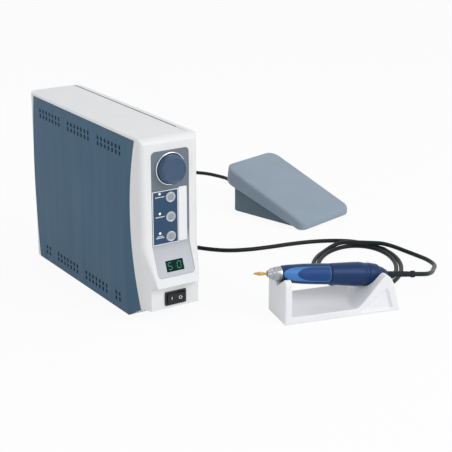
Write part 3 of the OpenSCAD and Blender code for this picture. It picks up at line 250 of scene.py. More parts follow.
# Silver painted button caps with fine metal flake; a darker, more matt disc sits in each dish, its darker
# colour painted shade, so a bright ring shows round it.
SILVER_PAINT = Finish("Silver paint on ABS", "#C6CBD1", "#B0B7BF", Surface.SPARK, 0.7, 0.01, 0.34,
                      metallic=0.35)
DISH_SHADE_PAINT = Finish("Silver paint on ABS, matt dish, painted shade", "#A2A9B1", "#939BA4", Surface.SPARK, 0.7, 0.01, 0.5,
                    metallic=0.35)
# Acrylic light pipe: milky white, slightly lit.
LENS_ACRYLIC = Finish("Acrylic lens, milky", "#F3F6F8", "#E7EEF2", Surface.MOULDED, 0.6, 0.003, 0.15,
                      ior=1.49, glow=0.35)
# Smoked acrylic over the digits: nearly black green and glossy.
SMOKED_ACRYLIC = Finish("Acrylic window, smoked", "#06211B", "#082A22", Surface.MOULDED, 3.0, 0.002, 0.12,
                        ior=1.49, gloss=0.1)
# Lit segments behind the window: a dim green glow with hardly any shading.
LIT_SEGMENT = Finish("Display segment, lit green", "#2F9A7C", "#2B9175", Surface.MOULDED, 0.6, 0.002, 0.3,
                     glow=0.3)
# Glass-filled nylon: near black with a dry sheen.
BLACK_NYLON = Finish("Black nylon, moulded", "#17191B", "#1F2224", Surface.MOULDED, 0.9, 0.02, 0.4, ior=1.53)
# Screen-printed ink: flat white without a shine.
WHITE_PRINT = Finish("White print", "#E9EBED", "#DFE2E5", Surface.MOULDED, 0.5, 0.003, 0.5)
# Knob: blue satin plastic with a clear rim of light round its face.
KNOB_BLUE = Finish("Blue ABS knob, satin", "#3B546E", "#425B76", Surface.MOULDED, 0.9, 0.015, 0.36,
                   ior=1.53, coat=0.05)
# Chromed plastic: a sharp mirror that takes its tones from the room.
CHROME = Finish("Chromed ring, polished", "#E6E9EC", "#D5D9DE", Surface.TURNED, 0.4, 0.002, 0.1,
                metallic=1.0, spread=0.04)
# Turned stainless steel: fine rings round the axis that stretch the highlight.
TURNED_STEEL = Finish("Stainless steel, turned", "#AEB2B6", "#999DA2", Surface.TURNED, 0.5, 0.01, 0.26,
                      metallic=1.0)
# Ground steel for shafts, pins, springs and screws: bright, with short scratches along it.
PLAIN_STEEL = Finish("Steel, ground", "#B9BDC2", "#A7ACB2", Surface.BRUSHED, 0.6, 0.008, 0.3, metallic=1.0)
# Zinc plating: a cool grey with the patchy spangle of its crystals.
ZINC_PLATE = Finish("Zinc plated steel", "#AEB4BA", "#C0C5C9", Surface.SPARK, 2.5, 0.01, 0.38, metallic=1.0)
# Epoxy glass board: green lacquer with a woven cloudiness.
BOARD_LACQUER = Finish("Epoxy board, green lacquer", "#2C6A3B", "#245A33", Surface.MOULDED, 1.5, 0.03, 0.35,
                       coat=0.2)
# Stacked iron sheets: dark grey with the lines of the stack; sheets of 0.5 mm are drawn coarser to show.
CORE_IRON = Finish("Laminated core iron", "#4D5156", "#3C4045", Surface.WOUND, 1.4, 0.1, 0.5, metallic=0.7)
# Enamelled wire: warm copper with the shadow lines between the turns, drawn coarser to show.
COPPER_WIRE = Finish("Enamelled copper winding", "#B5693A", "#9A5228", Surface.WOUND, 1.2, 0.15, 0.32,
                     metallic=0.8)
# Shrink sleeve: smooth black plastic with a broad sheen.
CAP_SLEEVE = Finish("Shrink sleeve, black", "#22262B", "#2C3138", Surface.MOULDED, 2.0, 0.02, 0.35)
# Extruded aluminium, anodised black: a grey gleam along the fins.
DARK_ALUMINIUM = Finish("Aluminium, black anodised", "#3A3F45", "#464B52", Surface.BRUSHED, 0.7, 0.01, 0.42,
                        metallic=0.8)
# Pedal: grey-blue painted die casting, matt with a fine orange peel; the base is darker and rougher.
PEDAL_PAINT = Finish("Grey-blue textured paint", "#98A8B5", "#91A1AF", Surface.SPARK, 1.1, 0.03, 0.55,
                     ior=1.5)
PEDAL_BASE = Finish("Grey-blue ABS, coarse texture", "#6B7E8A", "#637682", Surface.SPARK, 1.4, 0.06, 0.6,
                    ior=1.53)
# Moulded rubber: matt black that takes light softly.
RUBBER = Finish("Black rubber", "#1A2022", "#232A2C", Surface.MOULDED, 1.0, 0.03, 0.65, gloss=0.2)
# PVC cord jacket: drawn along its length, slightly shiny, dark green-grey.
CORD_PVC = Finish("PVC cord jacket", "#0F1617", "#161E1F", Surface.JACKET, 1.2, 0.006, 0.42, gloss=0.2)
# Anodised aluminium: deep blue metal with a velvety sheen from fine bead blasting; the cap is a shade darker.
BLUE_ANODISED = Finish("Aluminium, anodised blue", "#16325B", "#1A3862", Surface.TURNED, 0.6, 0.006, 0.4,
                       metallic=0.15, coat=0.04, gloss=0.2)
CAP_ANODISED = Finish("Aluminium, anodised dark blue", "#143058", "#18365F", Surface.TURNED, 0.6, 0.006, 0.4,
                      metallic=0.15, coat=0.04, gloss=0.2)
# Rubber inlays on the grip: a light blue leaf with a satin face, and a deep blue pad that is more matt.
LIGHT_INLAY = Finish("Rubber inlay, light blue", "#3A76BA", "#417FC3", Surface.MOULDED, 0.9, 0.008, 0.4,
                     ior=1.5)
DEEP_INLAY = Finish("Rubber inlay, deep blue", "#1D427A", "#224881", Surface.MOULDED, 0.9, 0.012, 0.45,
                    gloss=0.2)
# Gilt carbide bur: warm gold with darker flutes.
GILT_CARBIDE = Finish("Carbide bur, gilt", "#C2A461", "#A98A49", Surface.TURNED, 0.8, 0.05, 0.34,
                      metallic=0.75)


def unit(v: np.ndarray) -> np.ndarray:
    """Vector of length 1."""
    return v / np.linalg.norm(v)


def eased(route: np.ndarray, steps: int = 6) -> np.ndarray:
    """Smooth curve through a route's points, its first and last steps straight.

    Args:
        route: Points of the route.
        steps: Pieces that each step is cut to.

    Returns:
        The curve's points.
    """
    last = len(route) - 1
    curve = [route[0]]
    for i in range(last):
        a, b, c, d = route[max(i - 1, 0)], route[i], route[i + 1], route[min(i + 2, last)]
        for t in np.linspace(0, 1, steps + 1)[1:]:
            if i in (0, last - 1):
                curve.append(b + (c - b) * t)
            else:
                curve.append(0.5 * (2 * b + (c - a) * t + (2 * a - 5 * b + 4 * c - d) * t * t
                                    + (3 * b - a - 3 * c + d) * t ** 3))
    return np.array(curve)


def soft_step(t: float) -> float:
    """Rises smoothly from 0 to 1 as t does."""
    u = min(max(t, 0.0), 1.0)
    return u * u * (3 - 2 * u)


def joined(*paths: np.ndarray) -> np.ndarray:
    """One path from several, with no point twice.

    Args:
        paths: Paths that meet end to end.

    Returns:
        The whole path.
    """
    whole = np.concatenate(paths)
    keep = np.concatenate([[True], np.linalg.norm(np.diff(whole, axis=0), axis=1) > 1e-4])
    return whole[keep]


def mesh_piece(name: str, points: Sequence, faces: Sequence, uvs: Sequence | None = None,
               sharp: float = 40.0) -> bpy.types.Object:
    """Makes a mesh object with outward faces and smooth shading.

    Args:
        name: Name of the piece.
        points: Corners in millimetres.
        faces: Corner numbers of each face.
        uvs: For each face, the UV of each of its corners.
        sharp: Edges above this angle in degrees stay sharp.

    Returns:
        The object, at the origin.
    """
    mesh = bpy.data.meshes.new(name)
    mesh.from_pydata([tuple(float(x) * MM for x in p) for p in points], [], faces)
    if uvs:
        layer = mesh.uv_layers.new(name="along")
        layer.data.foreach_set("uv", [x for face in uvs for corner in face for x in corner])
    form = bmesh.new()
    form.from_mesh(mesh)
    bmesh.ops.recalc_face_normals(form, faces=form.faces)
    form.to_mesh(mesh)
    form.free()
    mesh.shade_smooth()
    mesh.set_sharp_from_angle(angle=math.radians(sharp))
    piece = bpy.data.objects.new(name, mesh)
    bpy.context.scene.collection.objects.link(piece)
    return piece


def tube(name: str, path: np.ndarray, diameter: float, sides: int = 16) -> bpy.types.Object:
    """A closed round tube along a path.

    Args:
        name: Name of the piece.
        path: Centres in millimetres.
        diameter: Outside diameter in millimetres.
        sides: Sides of the tube.

    Returns:
        The tube.
    """
    heading = np.gradient(path, axis=0)
    heading /= np.linalg.norm(heading, axis=1)[:, None]
    normal = unit(np.cross(heading[0], (0.3, 0.2, 0.9)))
    along = np.concatenate([[0], np.cumsum(np.linalg.norm(np.diff(path, axis=0), axis=1))]) * MM
    angles = np.linspace(0, 2 * math.pi, sides, endpoint=False)
    points: list = []
    for centre, ahead in zip(path, heading):
        normal = unit(normal - np.dot(normal, ahead) * ahead)
        side = np.cross(ahead, normal)
        points += [centre + diameter / 2 * (math.cos(a) * normal + math.sin(a) * side) for a in angles]
    faces, uvs = [], []
    for i in range(len(path) - 1):
        for k in range(sides):
            n = (k + 1) % sides
            faces.append((i * sides + k, i * sides + n, (i + 1) * sides + n, (i + 1) * sides + k))
            u0, u1, v0, v1 = k / sides, (k + 1) / sides, along[i], along[i + 1]
            uvs.append(((u0, v0), (u1, v0), (u1, v1), (u0, v1)))
    end = (len(path) - 1) * sides
    for first, v in ((0, 0.0), (end, along[-1])):
        faces.append(tuple(range(first, first + sides)))
        uvs.append(tuple((k / sides, v) for k in range(sides)))
    return mesh_piece(name, points, faces, uvs, 60)


def fillet(profile: Profile, radius: float, steps: int = 3) -> Profile:
    """Rounds the corners of an open profile.

    Args:
        profile: Corners.
        radius: How far from each corner the rounding starts, at most a third of the neighbouring side.
        steps: Pieces of each rounding.

    Returns:
        The rounded profile, its two ends as they were.
    """
    out = [profile[0]]
    for before, corner, after in zip(profile, profile[1:], profile[2:]):
        a, b, c = (np.array(p, float) for p in (before, corner, after))
        la, lc = np.linalg.norm(a - b), np.linalg.norm(c - b)
        p, q = b + (a - b) / la * min(radius, la / 3), b + (c - b) / lc * min(radius, lc / 3)
        for t in np.linspace(0, 1, steps + 1):
            out.append(tuple((1 - t) ** 2 * p + 2 * t * (1 - t) * b + t * t * q))
    return out + [profile[-1]]


def lathe(name: str, profile: Profile, place: Matrix, sides: int = 64, ring: bool = False,
          shape: Callable[[float, float], float] | None = None) -> bpy.types.Object:
    """Spins a profile round the z axis of a place.

    Args:
        name: Name of the piece.
        profile: Radius and distance along the axis, in millimetres; a radius of 0 makes a pole.
        place: Where the axis lies, in millimetres.
        sides: Steps round the axis.
        ring: True joins the last point to the first.
        shape: Factor on the radius by angle and distance, such as flutes.

    Returns:
        The turned piece.
    """
    points, rows, along = [], [], [0.0]
    for i, (r, t) in enumerate(profile):
        if i:
            along.append(along[-1] + math.dist(profile[i - 1], (r, t)) * MM)
        count = sides if r > 1e-6 else 1
        rows.append([len(points) + k % count for k in range(sides)])
        for k in range(count):
            a = 2 * math.pi * k / sides
            reach = r * (shape(a, t) if shape else 1.0)
            points.append(place @ Vector((reach * math.cos(a), reach * math.sin(a), t)))
    pairs = list(zip(range(len(rows)), range(1, len(rows))))
    if ring:
        pairs.append((len(rows) - 1, 0))
    faces, uvs = [], []
    for i, j in pairs:
        for k in range(sides):
            n = (k + 1) % sides
            corners = [(rows[i][k], (k / sides, along[i])), (rows[i][n], ((k + 1) / sides, along[i])),
                       (rows[j][n], ((k + 1) / sides, along[j])), (rows[j][k], (k / sides, along[j]))]
            face, spots = [], []
            for number, spot in corners:
                if number not in face:
                    face.append(number)
                    spots.append(spot)
            if len(face) > 2:
                faces.append(tuple(face))
                uvs.append(tuple(spots))
    return mesh_piece(name, points, faces, uvs, 50)


def baked(piece: bpy.types.Object) -> bpy.types.Object:
    """Applies a piece's modifiers to its mesh.

    Args:
        piece: The piece.

    Returns:
        The same piece, with a plain mesh.
    """
    bpy.context.view_layer.update()
    graph = bpy.context.evaluated_depsgraph_get()
    mesh = bpy.data.meshes.new_from_object(piece.evaluated_get(graph))
    piece.modifiers.clear()
    piece.data = mesh
    return piece


def softened(node: str, name: str, width: float, segments: int = 3) -> bpy.types.Object:
    """A copy of a CAD solid with its edges rounded, as a moulding has them.

    Args:
        node: The CAD node.
        name: Name of the piece.
        width: Width of the rounding in millimetres.
        segments: Steps across the rounding.

    Returns:
        The rounded piece.
    """
    form = bmesh.new()
    form.from_mesh(NODES[node].data)
    bmesh.ops.remove_doubles(form, verts=form.verts, dist=2e-6)
    bmesh.ops.dissolve_limit(form, angle_limit=math.radians(0.5), verts=form.verts, edges=form.edges)
    mesh = bpy.data.meshes.new(name)
    form.to_mesh(mesh)
    form.free()
    if "custom_normal" in mesh.attributes:
        mesh.attributes.remove(mesh.attributes["custom_normal"])
    mesh.shade_smooth()
    piece = bpy.data.objects.new(name, mesh)
    bpy.context.scene.collection.objects.link(piece)
    edge = piece.modifiers.new("rounded edges", "BEVEL")
    edge.width = width * MM
    edge.segments = segments
    edge.limit_method = "ANGLE"
    edge.angle_limit = math.radians(28)
    edge.miter_outer = "MITER_ARC"
    even = piece.modifiers.new("even shading", "WEIGHTED_NORMAL")
    even.keep_sharp = True
    return baked(piece)


def moulded(node: str, name: str, voxel: float, rounds: int, yaw: float) -> bpy.types.Object:
    """A copy of a CAD solid with all its edges melted round, as a thick moulding or casting has them.

    Args:
        node: The CAD node.
        name: Name of the piece.
        voxel: Size of the new mesh's cells in millimetres.
        rounds: How often the mesh is smoothed.
        yaw: The piece's turn on the table in degrees; the cells lie along it, so that edges stay straight.

    Returns:
        The rounded piece.
    """
    turn = Matrix.Rotation(math.radians(yaw), 4, "Z")
    form = bmesh.new()
    form.from_mesh(NODES[node].data)
    form.transform(turn.inverted())
    bmesh.ops.remove_doubles(form, verts=form.verts, dist=2e-6)
    mesh = bpy.data.meshes.new(name)
    form.to_mesh(mesh)
    form.free()
    piece = bpy.data.objects.new(name, mesh)
    bpy.context.scene.collection.objects.link(piece)
    cells = piece.modifiers.new("even cells", "REMESH")
    cells.mode = "VOXEL"
    cells.voxel_size = voxel * MM
    soft = piece.modifiers.new("round edges", "SMOOTH")
    soft.factor = 0.5
    soft.iterations = rounds
    baked(piece).data.transform(turn)
    piece.data.shade_smooth()
    return piece


def merged(name: str, pieces: Sequence[bpy.types.Object]) -> bpy.types.Object:
    """Joins small pieces into one mesh.

    Args:
        name: Name of the joined piece.
        pieces: Pieces to join; they are used up.

    Returns:
        The joined piece.
    """
    form = bmesh.new()
    for piece in pieces:
        form.from_mesh(piece.data)
        bpy.data.objects.remove(piece)
    mesh = bpy.data.meshes.new(name)
    form.to_mesh(mesh)
    form.free()
    joint = bpy.data.objects.new(name, mesh)
    bpy.context.scene.collection.objects.link(joint)
    return joint


def ribbon(name: str, line: Sequence[tuple[float, float]], width: float, tall: float, place: Matrix,
           closed: bool) -> bpy.types.Object:
    """A raised line, such as a print or a dark strip laid as painted shade: a box section swept along a flat
    line.

    Args:
        name: Name of the piece.
        line: Points of the line's middle, in the place's xy plane.
        width: Width of the line.
        tall: Height; half of it stands above the plane.
        place: The plane, in millimetres.
        closed: True joins the last point to the first.

    Returns:
        The line.
    """
    count = len(line)
    points, faces = [], []
    for i, (x, y) in enumerate(line):
        before = line[i - 1] if closed or i else line[i]
        after = line[(i + 1) % count] if closed or i < count - 1 else line[i]
        ahead = Vector((after[0] - before[0], after[1] - before[1], 0)).normalized()
        side = Vector((-ahead.y, ahead.x, 0)) * width / 2
        for s, z in ((1, -1), (1, 1), (-1, 1), (-1, -1)):
            points.append(place @ (Vector((x, y, 0)) + side * s + Vector((0, 0, z * tall / 2))))
    for i in range(count if closed else count - 1):
        j = (i + 1) % count
        faces += [(4 * i + k, 4 * i + (k + 1) % 4, 4 * j + (k + 1) % 4, 4 * j + k) for k in range(4)]
    if not closed:
        faces += [(0, 1, 2, 3), tuple(4 * count - 4 + k for k in range(4))]
    return mesh_piece(name, points, faces)


def line_frame(name: str, w: float, h: float, width: float, tall: float, place: Matrix) -> bpy.types.Object:
    """A printed line round a rectangle with square corners.

    Args:
        name: Name of the piece.
        w: Outside width.
        h: Outside height.
        width: Width of the line.
        tall: Height; half of it stands above the plane.
        place: The plane, in millimetres.

    Returns:
        The line.
    """
    points, faces = [], []
    for a, b in ((w / 2, h / 2), (w / 2 - width, h / 2 - width)):
        for z in (-tall / 2, tall / 2):
            points += [place @ Vector((sx * a, sy * b, z)) for sx, sy in ((-1, -1), (1, -1), (1, 1), (-1, 1))]
    for k in range(4):
        n = (k + 1) % 4
        faces += [(k, n, 4 + n, 4 + k), (8 + k, 8 + n, 12 + n, 12 + k), (4 + k, 4 + n, 12 + n, 12 + k),
                  (k, n, 8 + n, 8 + k)]
    return mesh_piece(name, points, faces, sharp=20)


def settle(piece: bpy.types.Object, finish: Finish, body: str, slot: str, *nodes: str) -> bpy.types.Object:
    """Gives a finished mesh its material and its body, and hides the CAD nodes that it replaces.

    Args:
        piece: The mesh piece.
        finish: Its finish.
        body: The CAD body that it rides on.
        slot: Not used.
        nodes: CAD nodes that it replaces.

    Returns:
        The piece.
    """
    piece.data.materials.clear()
    piece.data.materials.append(finish.material())
    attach(piece, body)
    if nodes:
        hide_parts(*nodes)
    LOG.info("%s: %s, rides %s", piece.name, finish.name, body)
    return piece


def dress(finish: Finish, *nodes: str) -> None:
    """Gives CAD nodes that stay a finish.

    Args:
        finish: The finish.
        nodes: The nodes.
    """
    for node in nodes:
        for slot in NODES[node].material_slots:
            slot.material = finish.material()
        LOG.info("%s: %s", node, finish.name)


def face_place(node: str, normal: Vector, up: Vector) -> Matrix:
    """The middle of a node's outer face: z out of the face, y up along it.

    Args:
        node: The CAD node.
        normal: Direction out of the face.
        up: Direction up along the face.

    Returns:
        The place, in millimetres.
    """
    low, high = (Vector(corner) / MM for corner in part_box(node))
    middle = (low + high) / 2
    reach = max(normal.dot(v.co) for v in NODES[node].data.vertices) / MM
    side = up.cross(normal).normalized()
    place = Matrix((side, up, normal)).transposed().to_4x4()
    place.translation = middle + normal * (reach - normal.dot(middle))
    return place


class Rule:
    """A geometry tree that repeats a form, with named inputs for its sizes."""

    def __init__(self, name: str, inputs: dict[str, str]) -> None:
        """Starts the tree.

        Args:
            name: Name of the rule.
            inputs: Input names with their socket types; the finish is added to them.
        """
        self.tree = bpy.data.node_groups.new(name, "GeometryNodeTree")
        face = self.tree.interface
        face.new_socket(name="Geometry", in_out="INPUT", socket_type="NodeSocketGeometry")
        face.new_socket(name="Geometry", in_out="OUTPUT", socket_type="NodeSocketGeometry")
        for label, kind in {**inputs, "Finish": "Material"}.items():
            face.new_socket(name=label, in_out="INPUT", socket_type="NodeSocket" + kind)
        self.given = add(self.tree, "NodeGroupInput").outputs

    def close(self, form: bpy.types.NodeSocket) -> None:
        """Ends the tree: instances made real, smooth, and with the finish.

        Args:
            form: Output that holds the form.
        """
        real = add(self.tree, "GeometryNodeRealizeInstances", None, {0: form}).outputs[0]
        smooth = add(self.tree, "GeometryNodeSetShadeSmooth", None,
                     {0: real, "Shade Smooth": True}).outputs[0]
        done = add(self.tree, "GeometryNodeSetMaterial", None,
                   {"Geometry": smooth, "Material": self.given["Finish"]}).outputs[0]
        add(self.tree, "NodeGroupOutput", None, {0: done})

    def make(self, name: str, place: Matrix, finish: Finish, values: dict[str, Any],
             start: bpy.types.Mesh | None = None) -> bpy.types.Object:
        """Runs the rule and keeps its result as a plain mesh.

        Args:
            name: Name of the piece.
            place: Where the form's origin lies, in millimetres.
            finish: Its finish.
            values: Value of each named input, lengths in millimetres.
            start: Points that the rule works on.

        Returns:
            The piece, at the origin.
        """
        piece = bpy.data.objects.new(name, start or bpy.data.meshes.new(name))
        bpy.context.scene.collection.objects.link(piece)
        modifier = piece.modifiers.new("rule", "NODES")
        modifier.node_group = self.tree
        for socket in self.tree.interface.items_tree:
            if socket.in_out == "INPUT" and socket.name in values:
                modifier[socket.identifier] = values[socket.name]
            elif socket.in_out == "INPUT" and socket.name == "Finish":
                modifier[socket.identifier] = finish.material()
        baked(piece)
        piece.data.transform(Matrix.Scale(MM, 4) @ place)
        return piece


class RingRule(Rule):
    """Round ribs at an even pitch along an axis."""

    def __init__(self) -> None:
        """Builds the tree: a wire ring on each point of a line."""
        super().__init__("Ribs along an axis",
                         {"Count": "Int", "Pitch": "Float", "Radius": "Float", "Wire": "Float"})
        t, given = self.tree, self.given
        pitch = add(t, "ShaderNodeCombineXYZ", None, {"Z": given["Pitch"]}).outputs[0]
        line = add(t, "GeometryNodeMeshLine", None, {"Count": given["Count"], "Offset": pitch}).outputs[0]
        hoop = add(t, "GeometryNodeCurvePrimitiveCircle", None,
                   {"Resolution": 48, "Radius": given["Radius"]}).outputs[0]
        wire = add(t, "GeometryNodeCurvePrimitiveCircle", None,
                   {"Resolution": 10, "Radius": given["Wire"]}).outputs[0]
        ring = add(t, "GeometryNodeCurveToMesh", None, {"Curve": hoop, "Profile Curve": wire}).outputs[0]
        self.close(add(t, "GeometryNodeInstanceOnPoints", None,
                       {"Points": line, "Instance": ring}).outputs[0])


class BarRule(Rule):
    """Flat six-sided bars on points, each with its own turn and size: the display's segments."""

    def __init__(self) -> None:
        """Builds the tree: a six-sided plate on each point."""
        super().__init__("Bars on points", {"Thickness": "Float"})
        t, given = self.tree, self.given
        bar = add(t, "GeometryNodeMeshCylinder", None,
                  {"Vertices": 6, "Radius": 0.5, "Depth": given["Thickness"]}).outputs[0]
        turn = add(t, "GeometryNodeInputNamedAttribute", {"data_type": "FLOAT"}, {"Name": "turn"}).outputs[0]
        size = add(t, "GeometryNodeInputNamedAttribute", {"data_type": "FLOAT_VECTOR"},
                   {"Name": "size"}).outputs[0]
        angle = add(t, "ShaderNodeCombineXYZ", None, {"Z": turn}).outputs[0]
        self.close(add(t, "GeometryNodeInstanceOnPoints", None, {
            "Points": given["Geometry"], "Instance": bar, "Rotation": angle, "Scale": size}).outputs[0])

    @staticmethod
    def points(name: str, bars: Sequence[tuple[float, float, float, float, float]]) -> bpy.types.Mesh:
        """Points for the rule.

        Args:
            name: Name of the mesh.
            bars: Middle x and y, length, width and turn in degrees of each bar.

        Returns:
            A mesh of points with the attributes that the rule reads.
        """
        mesh = bpy.data.meshes.new(name)
        mesh.from_pydata([(x, y, 0) for x, y, *_ in bars], [], [])
        turn = mesh.attributes.new("turn", "FLOAT", "POINT")
        turn.data.foreach_set("value", [math.radians(b[4]) for b in bars])
        size = mesh.attributes.new("size", "FLOAT_VECTOR", "POINT")
        size.data.foreach_set("vector", [s for b in bars for s in (b[2], b[3], 1.0)])
        return mesh


class SpringRule(Rule):
    """A helical wire spring."""

    def __init__(self) -> None:
        """Builds the tree: a wire swept along a helix."""
        super().__init__("Wire spring",
                         {"Turns": "Float", "Radius": "Float", "Rise": "Float", "Wire": "Float"})
        t, given = self.tree, self.given
        helix = add(t, "GeometryNodeCurveSpiral", None, {
            "Resolution": 32, "Rotations": given["Turns"], "Start Radius": given["Radius"],
            "End Radius": given["Radius"], "Height": given["Rise"]}).outputs[0]
        wire = add(t, "GeometryNodeCurvePrimitiveCircle", None,
                   {"Resolution": 12, "Radius": given["Wire"]}).outputs[0]
        self.close(add(t, "GeometryNodeCurveToMesh", None,
                       {"Curve": helix, "Profile Curve": wire, "Fill Caps": True}).outputs[0])


@dataclass
class Studio:
    """Camera, lamps, floor and background; places in metres, angles in degrees."""

    camera_at: Spot = (-0.7100, -1.3645, 0.5922)
    pitch: float = 18.679
    azimuth: float = -32.663
    lens: float = 103.77
    sensor: float = 36.0
    lamp_aim: Spot = (0.15, 0.0, 0.08)
    ambient: float = 0.53
    floor_side: float = 12.0
    floor_drop: float = 0.1
    floor_white: float = 0.92

    def build(self) -> None:
        """Sets the camera at the photograph's angle and lights a pale floor."""
        scene = bpy.context.scene
        scene.view_settings.view_transform = "Standard"
        data = bpy.data.cameras.new("view")
        data.lens, data.sensor_width, data.clip_end = self.lens, self.sensor, 50.0
        camera = bpy.data.objects.new("view", data)
        camera.location = self.camera_at
        camera.rotation_euler = (math.radians(90 - self.pitch), 0, math.radians(self.azimuth))
        scene.collection.objects.link(camera)
        scene.camera = camera
        self.lamp("key", (1.0, -2.1, 1.6), 1.6, 31.0)
        self.lamp("fill", (-2.3, -1.3, 0.8), 1.4, 6.0)
        self.lamp("top", (-0.4, 0.5, 2.3), 2.0, 7.0)
        self.backdrop()
        self.floor()

    def lamp(self, name: str, at: Spot, side: float, watts: float) -> None:
        """Adds a square soft box that faces the set.

        Args:
            name: Name of the lamp.
            at: Its place in metres.
            side: Its side in metres.
            watts: Its power.
        """
        data = bpy.data.lights.new(name, "AREA")
        data.size, data.energy = side, watts
        lamp = bpy.data.objects.new(name, data)
        lamp.location = at
        lamp.rotation_euler = (Vector(self.lamp_aim) - Vector(at)).to_track_quat("-Z", "Y").to_euler()
        bpy.context.scene.collection.objects.link(lamp)

    @staticmethod
    def seen(tree: bpy.types.NodeTree) -> bpy.types.NodeSocket:
        """Tells the rays that show the background: camera, glossy and transmission rays.

        Args:
            tree: Shader tree of the world or the floor.

        Returns:
            Output that is 1 for these rays and 0 for others.
        """
        path = add(tree, "ShaderNodeLightPath").outputs
        two = add(tree, "ShaderNodeMath", {"operation": "MAXIMUM"},
                  {0: path["Is Camera Ray"], 1: path["Is Glossy Ray"]}).outputs[0]
        return add(tree, "ShaderNodeMath", {"operation": "MAXIMUM"},
                   {0: two, 1: path["Is Transmission Ray"]}).outputs[0]

    def backdrop(self) -> None:
        """White where it is seen, and a soft even light elsewhere."""
        world = bpy.data.worlds.new("studio")
        bpy.context.scene.world = world
        world.use_nodes = True
        tree = world.node_tree
        level = add(tree, "ShaderNodeMapRange", None,
                    {"Value": self.seen(tree), 3: self.ambient, 4: 1.0}).outputs[0]
        ground = tree.nodes["Background"]
        ground.inputs["Color"].default_value = (1, 1, 1, 1)
        tree.links.new(level, ground.inputs["Strength"])

    def floor(self) -> None:
        """A floor that shows mostly white and keeps a soft shadow; floor_drop is in millimetres."""
        half = self.floor_side / 2 / MM
        corners = [(sx * half, sy * half, -self.floor_drop)
                   for sx, sy in ((-1, -1), (1, -1), (1, 1), (-1, 1))]
        floor = mesh_piece("floor", corners, [(0, 1, 2, 3)])
        material = bpy.data.materials.new("White paper sweep")
        material.use_nodes = True
        tree = material.node_tree
        tree.nodes.clear()
        paper = add(tree, "ShaderNodeBsdfDiffuse", None, {"Color": linear("#F4F4F4")}).outputs[0]
        white = add(tree, "ShaderNodeEmission", None, {"Strength": 1.0}).outputs[0]
        share = add(tree, "ShaderNodeMath", {"operation": "MULTIPLY"},
                    {0: self.seen(tree), 1: self.floor_white}).outputs[0]
        mixed = add(tree, "ShaderNodeMixShader", None, {0: share, 1: paper, 2: white}).outputs[0]
        add(tree, "ShaderNodeOutputMaterial", None, {"Surface": mixed})
        floor.data.materials.append(material)


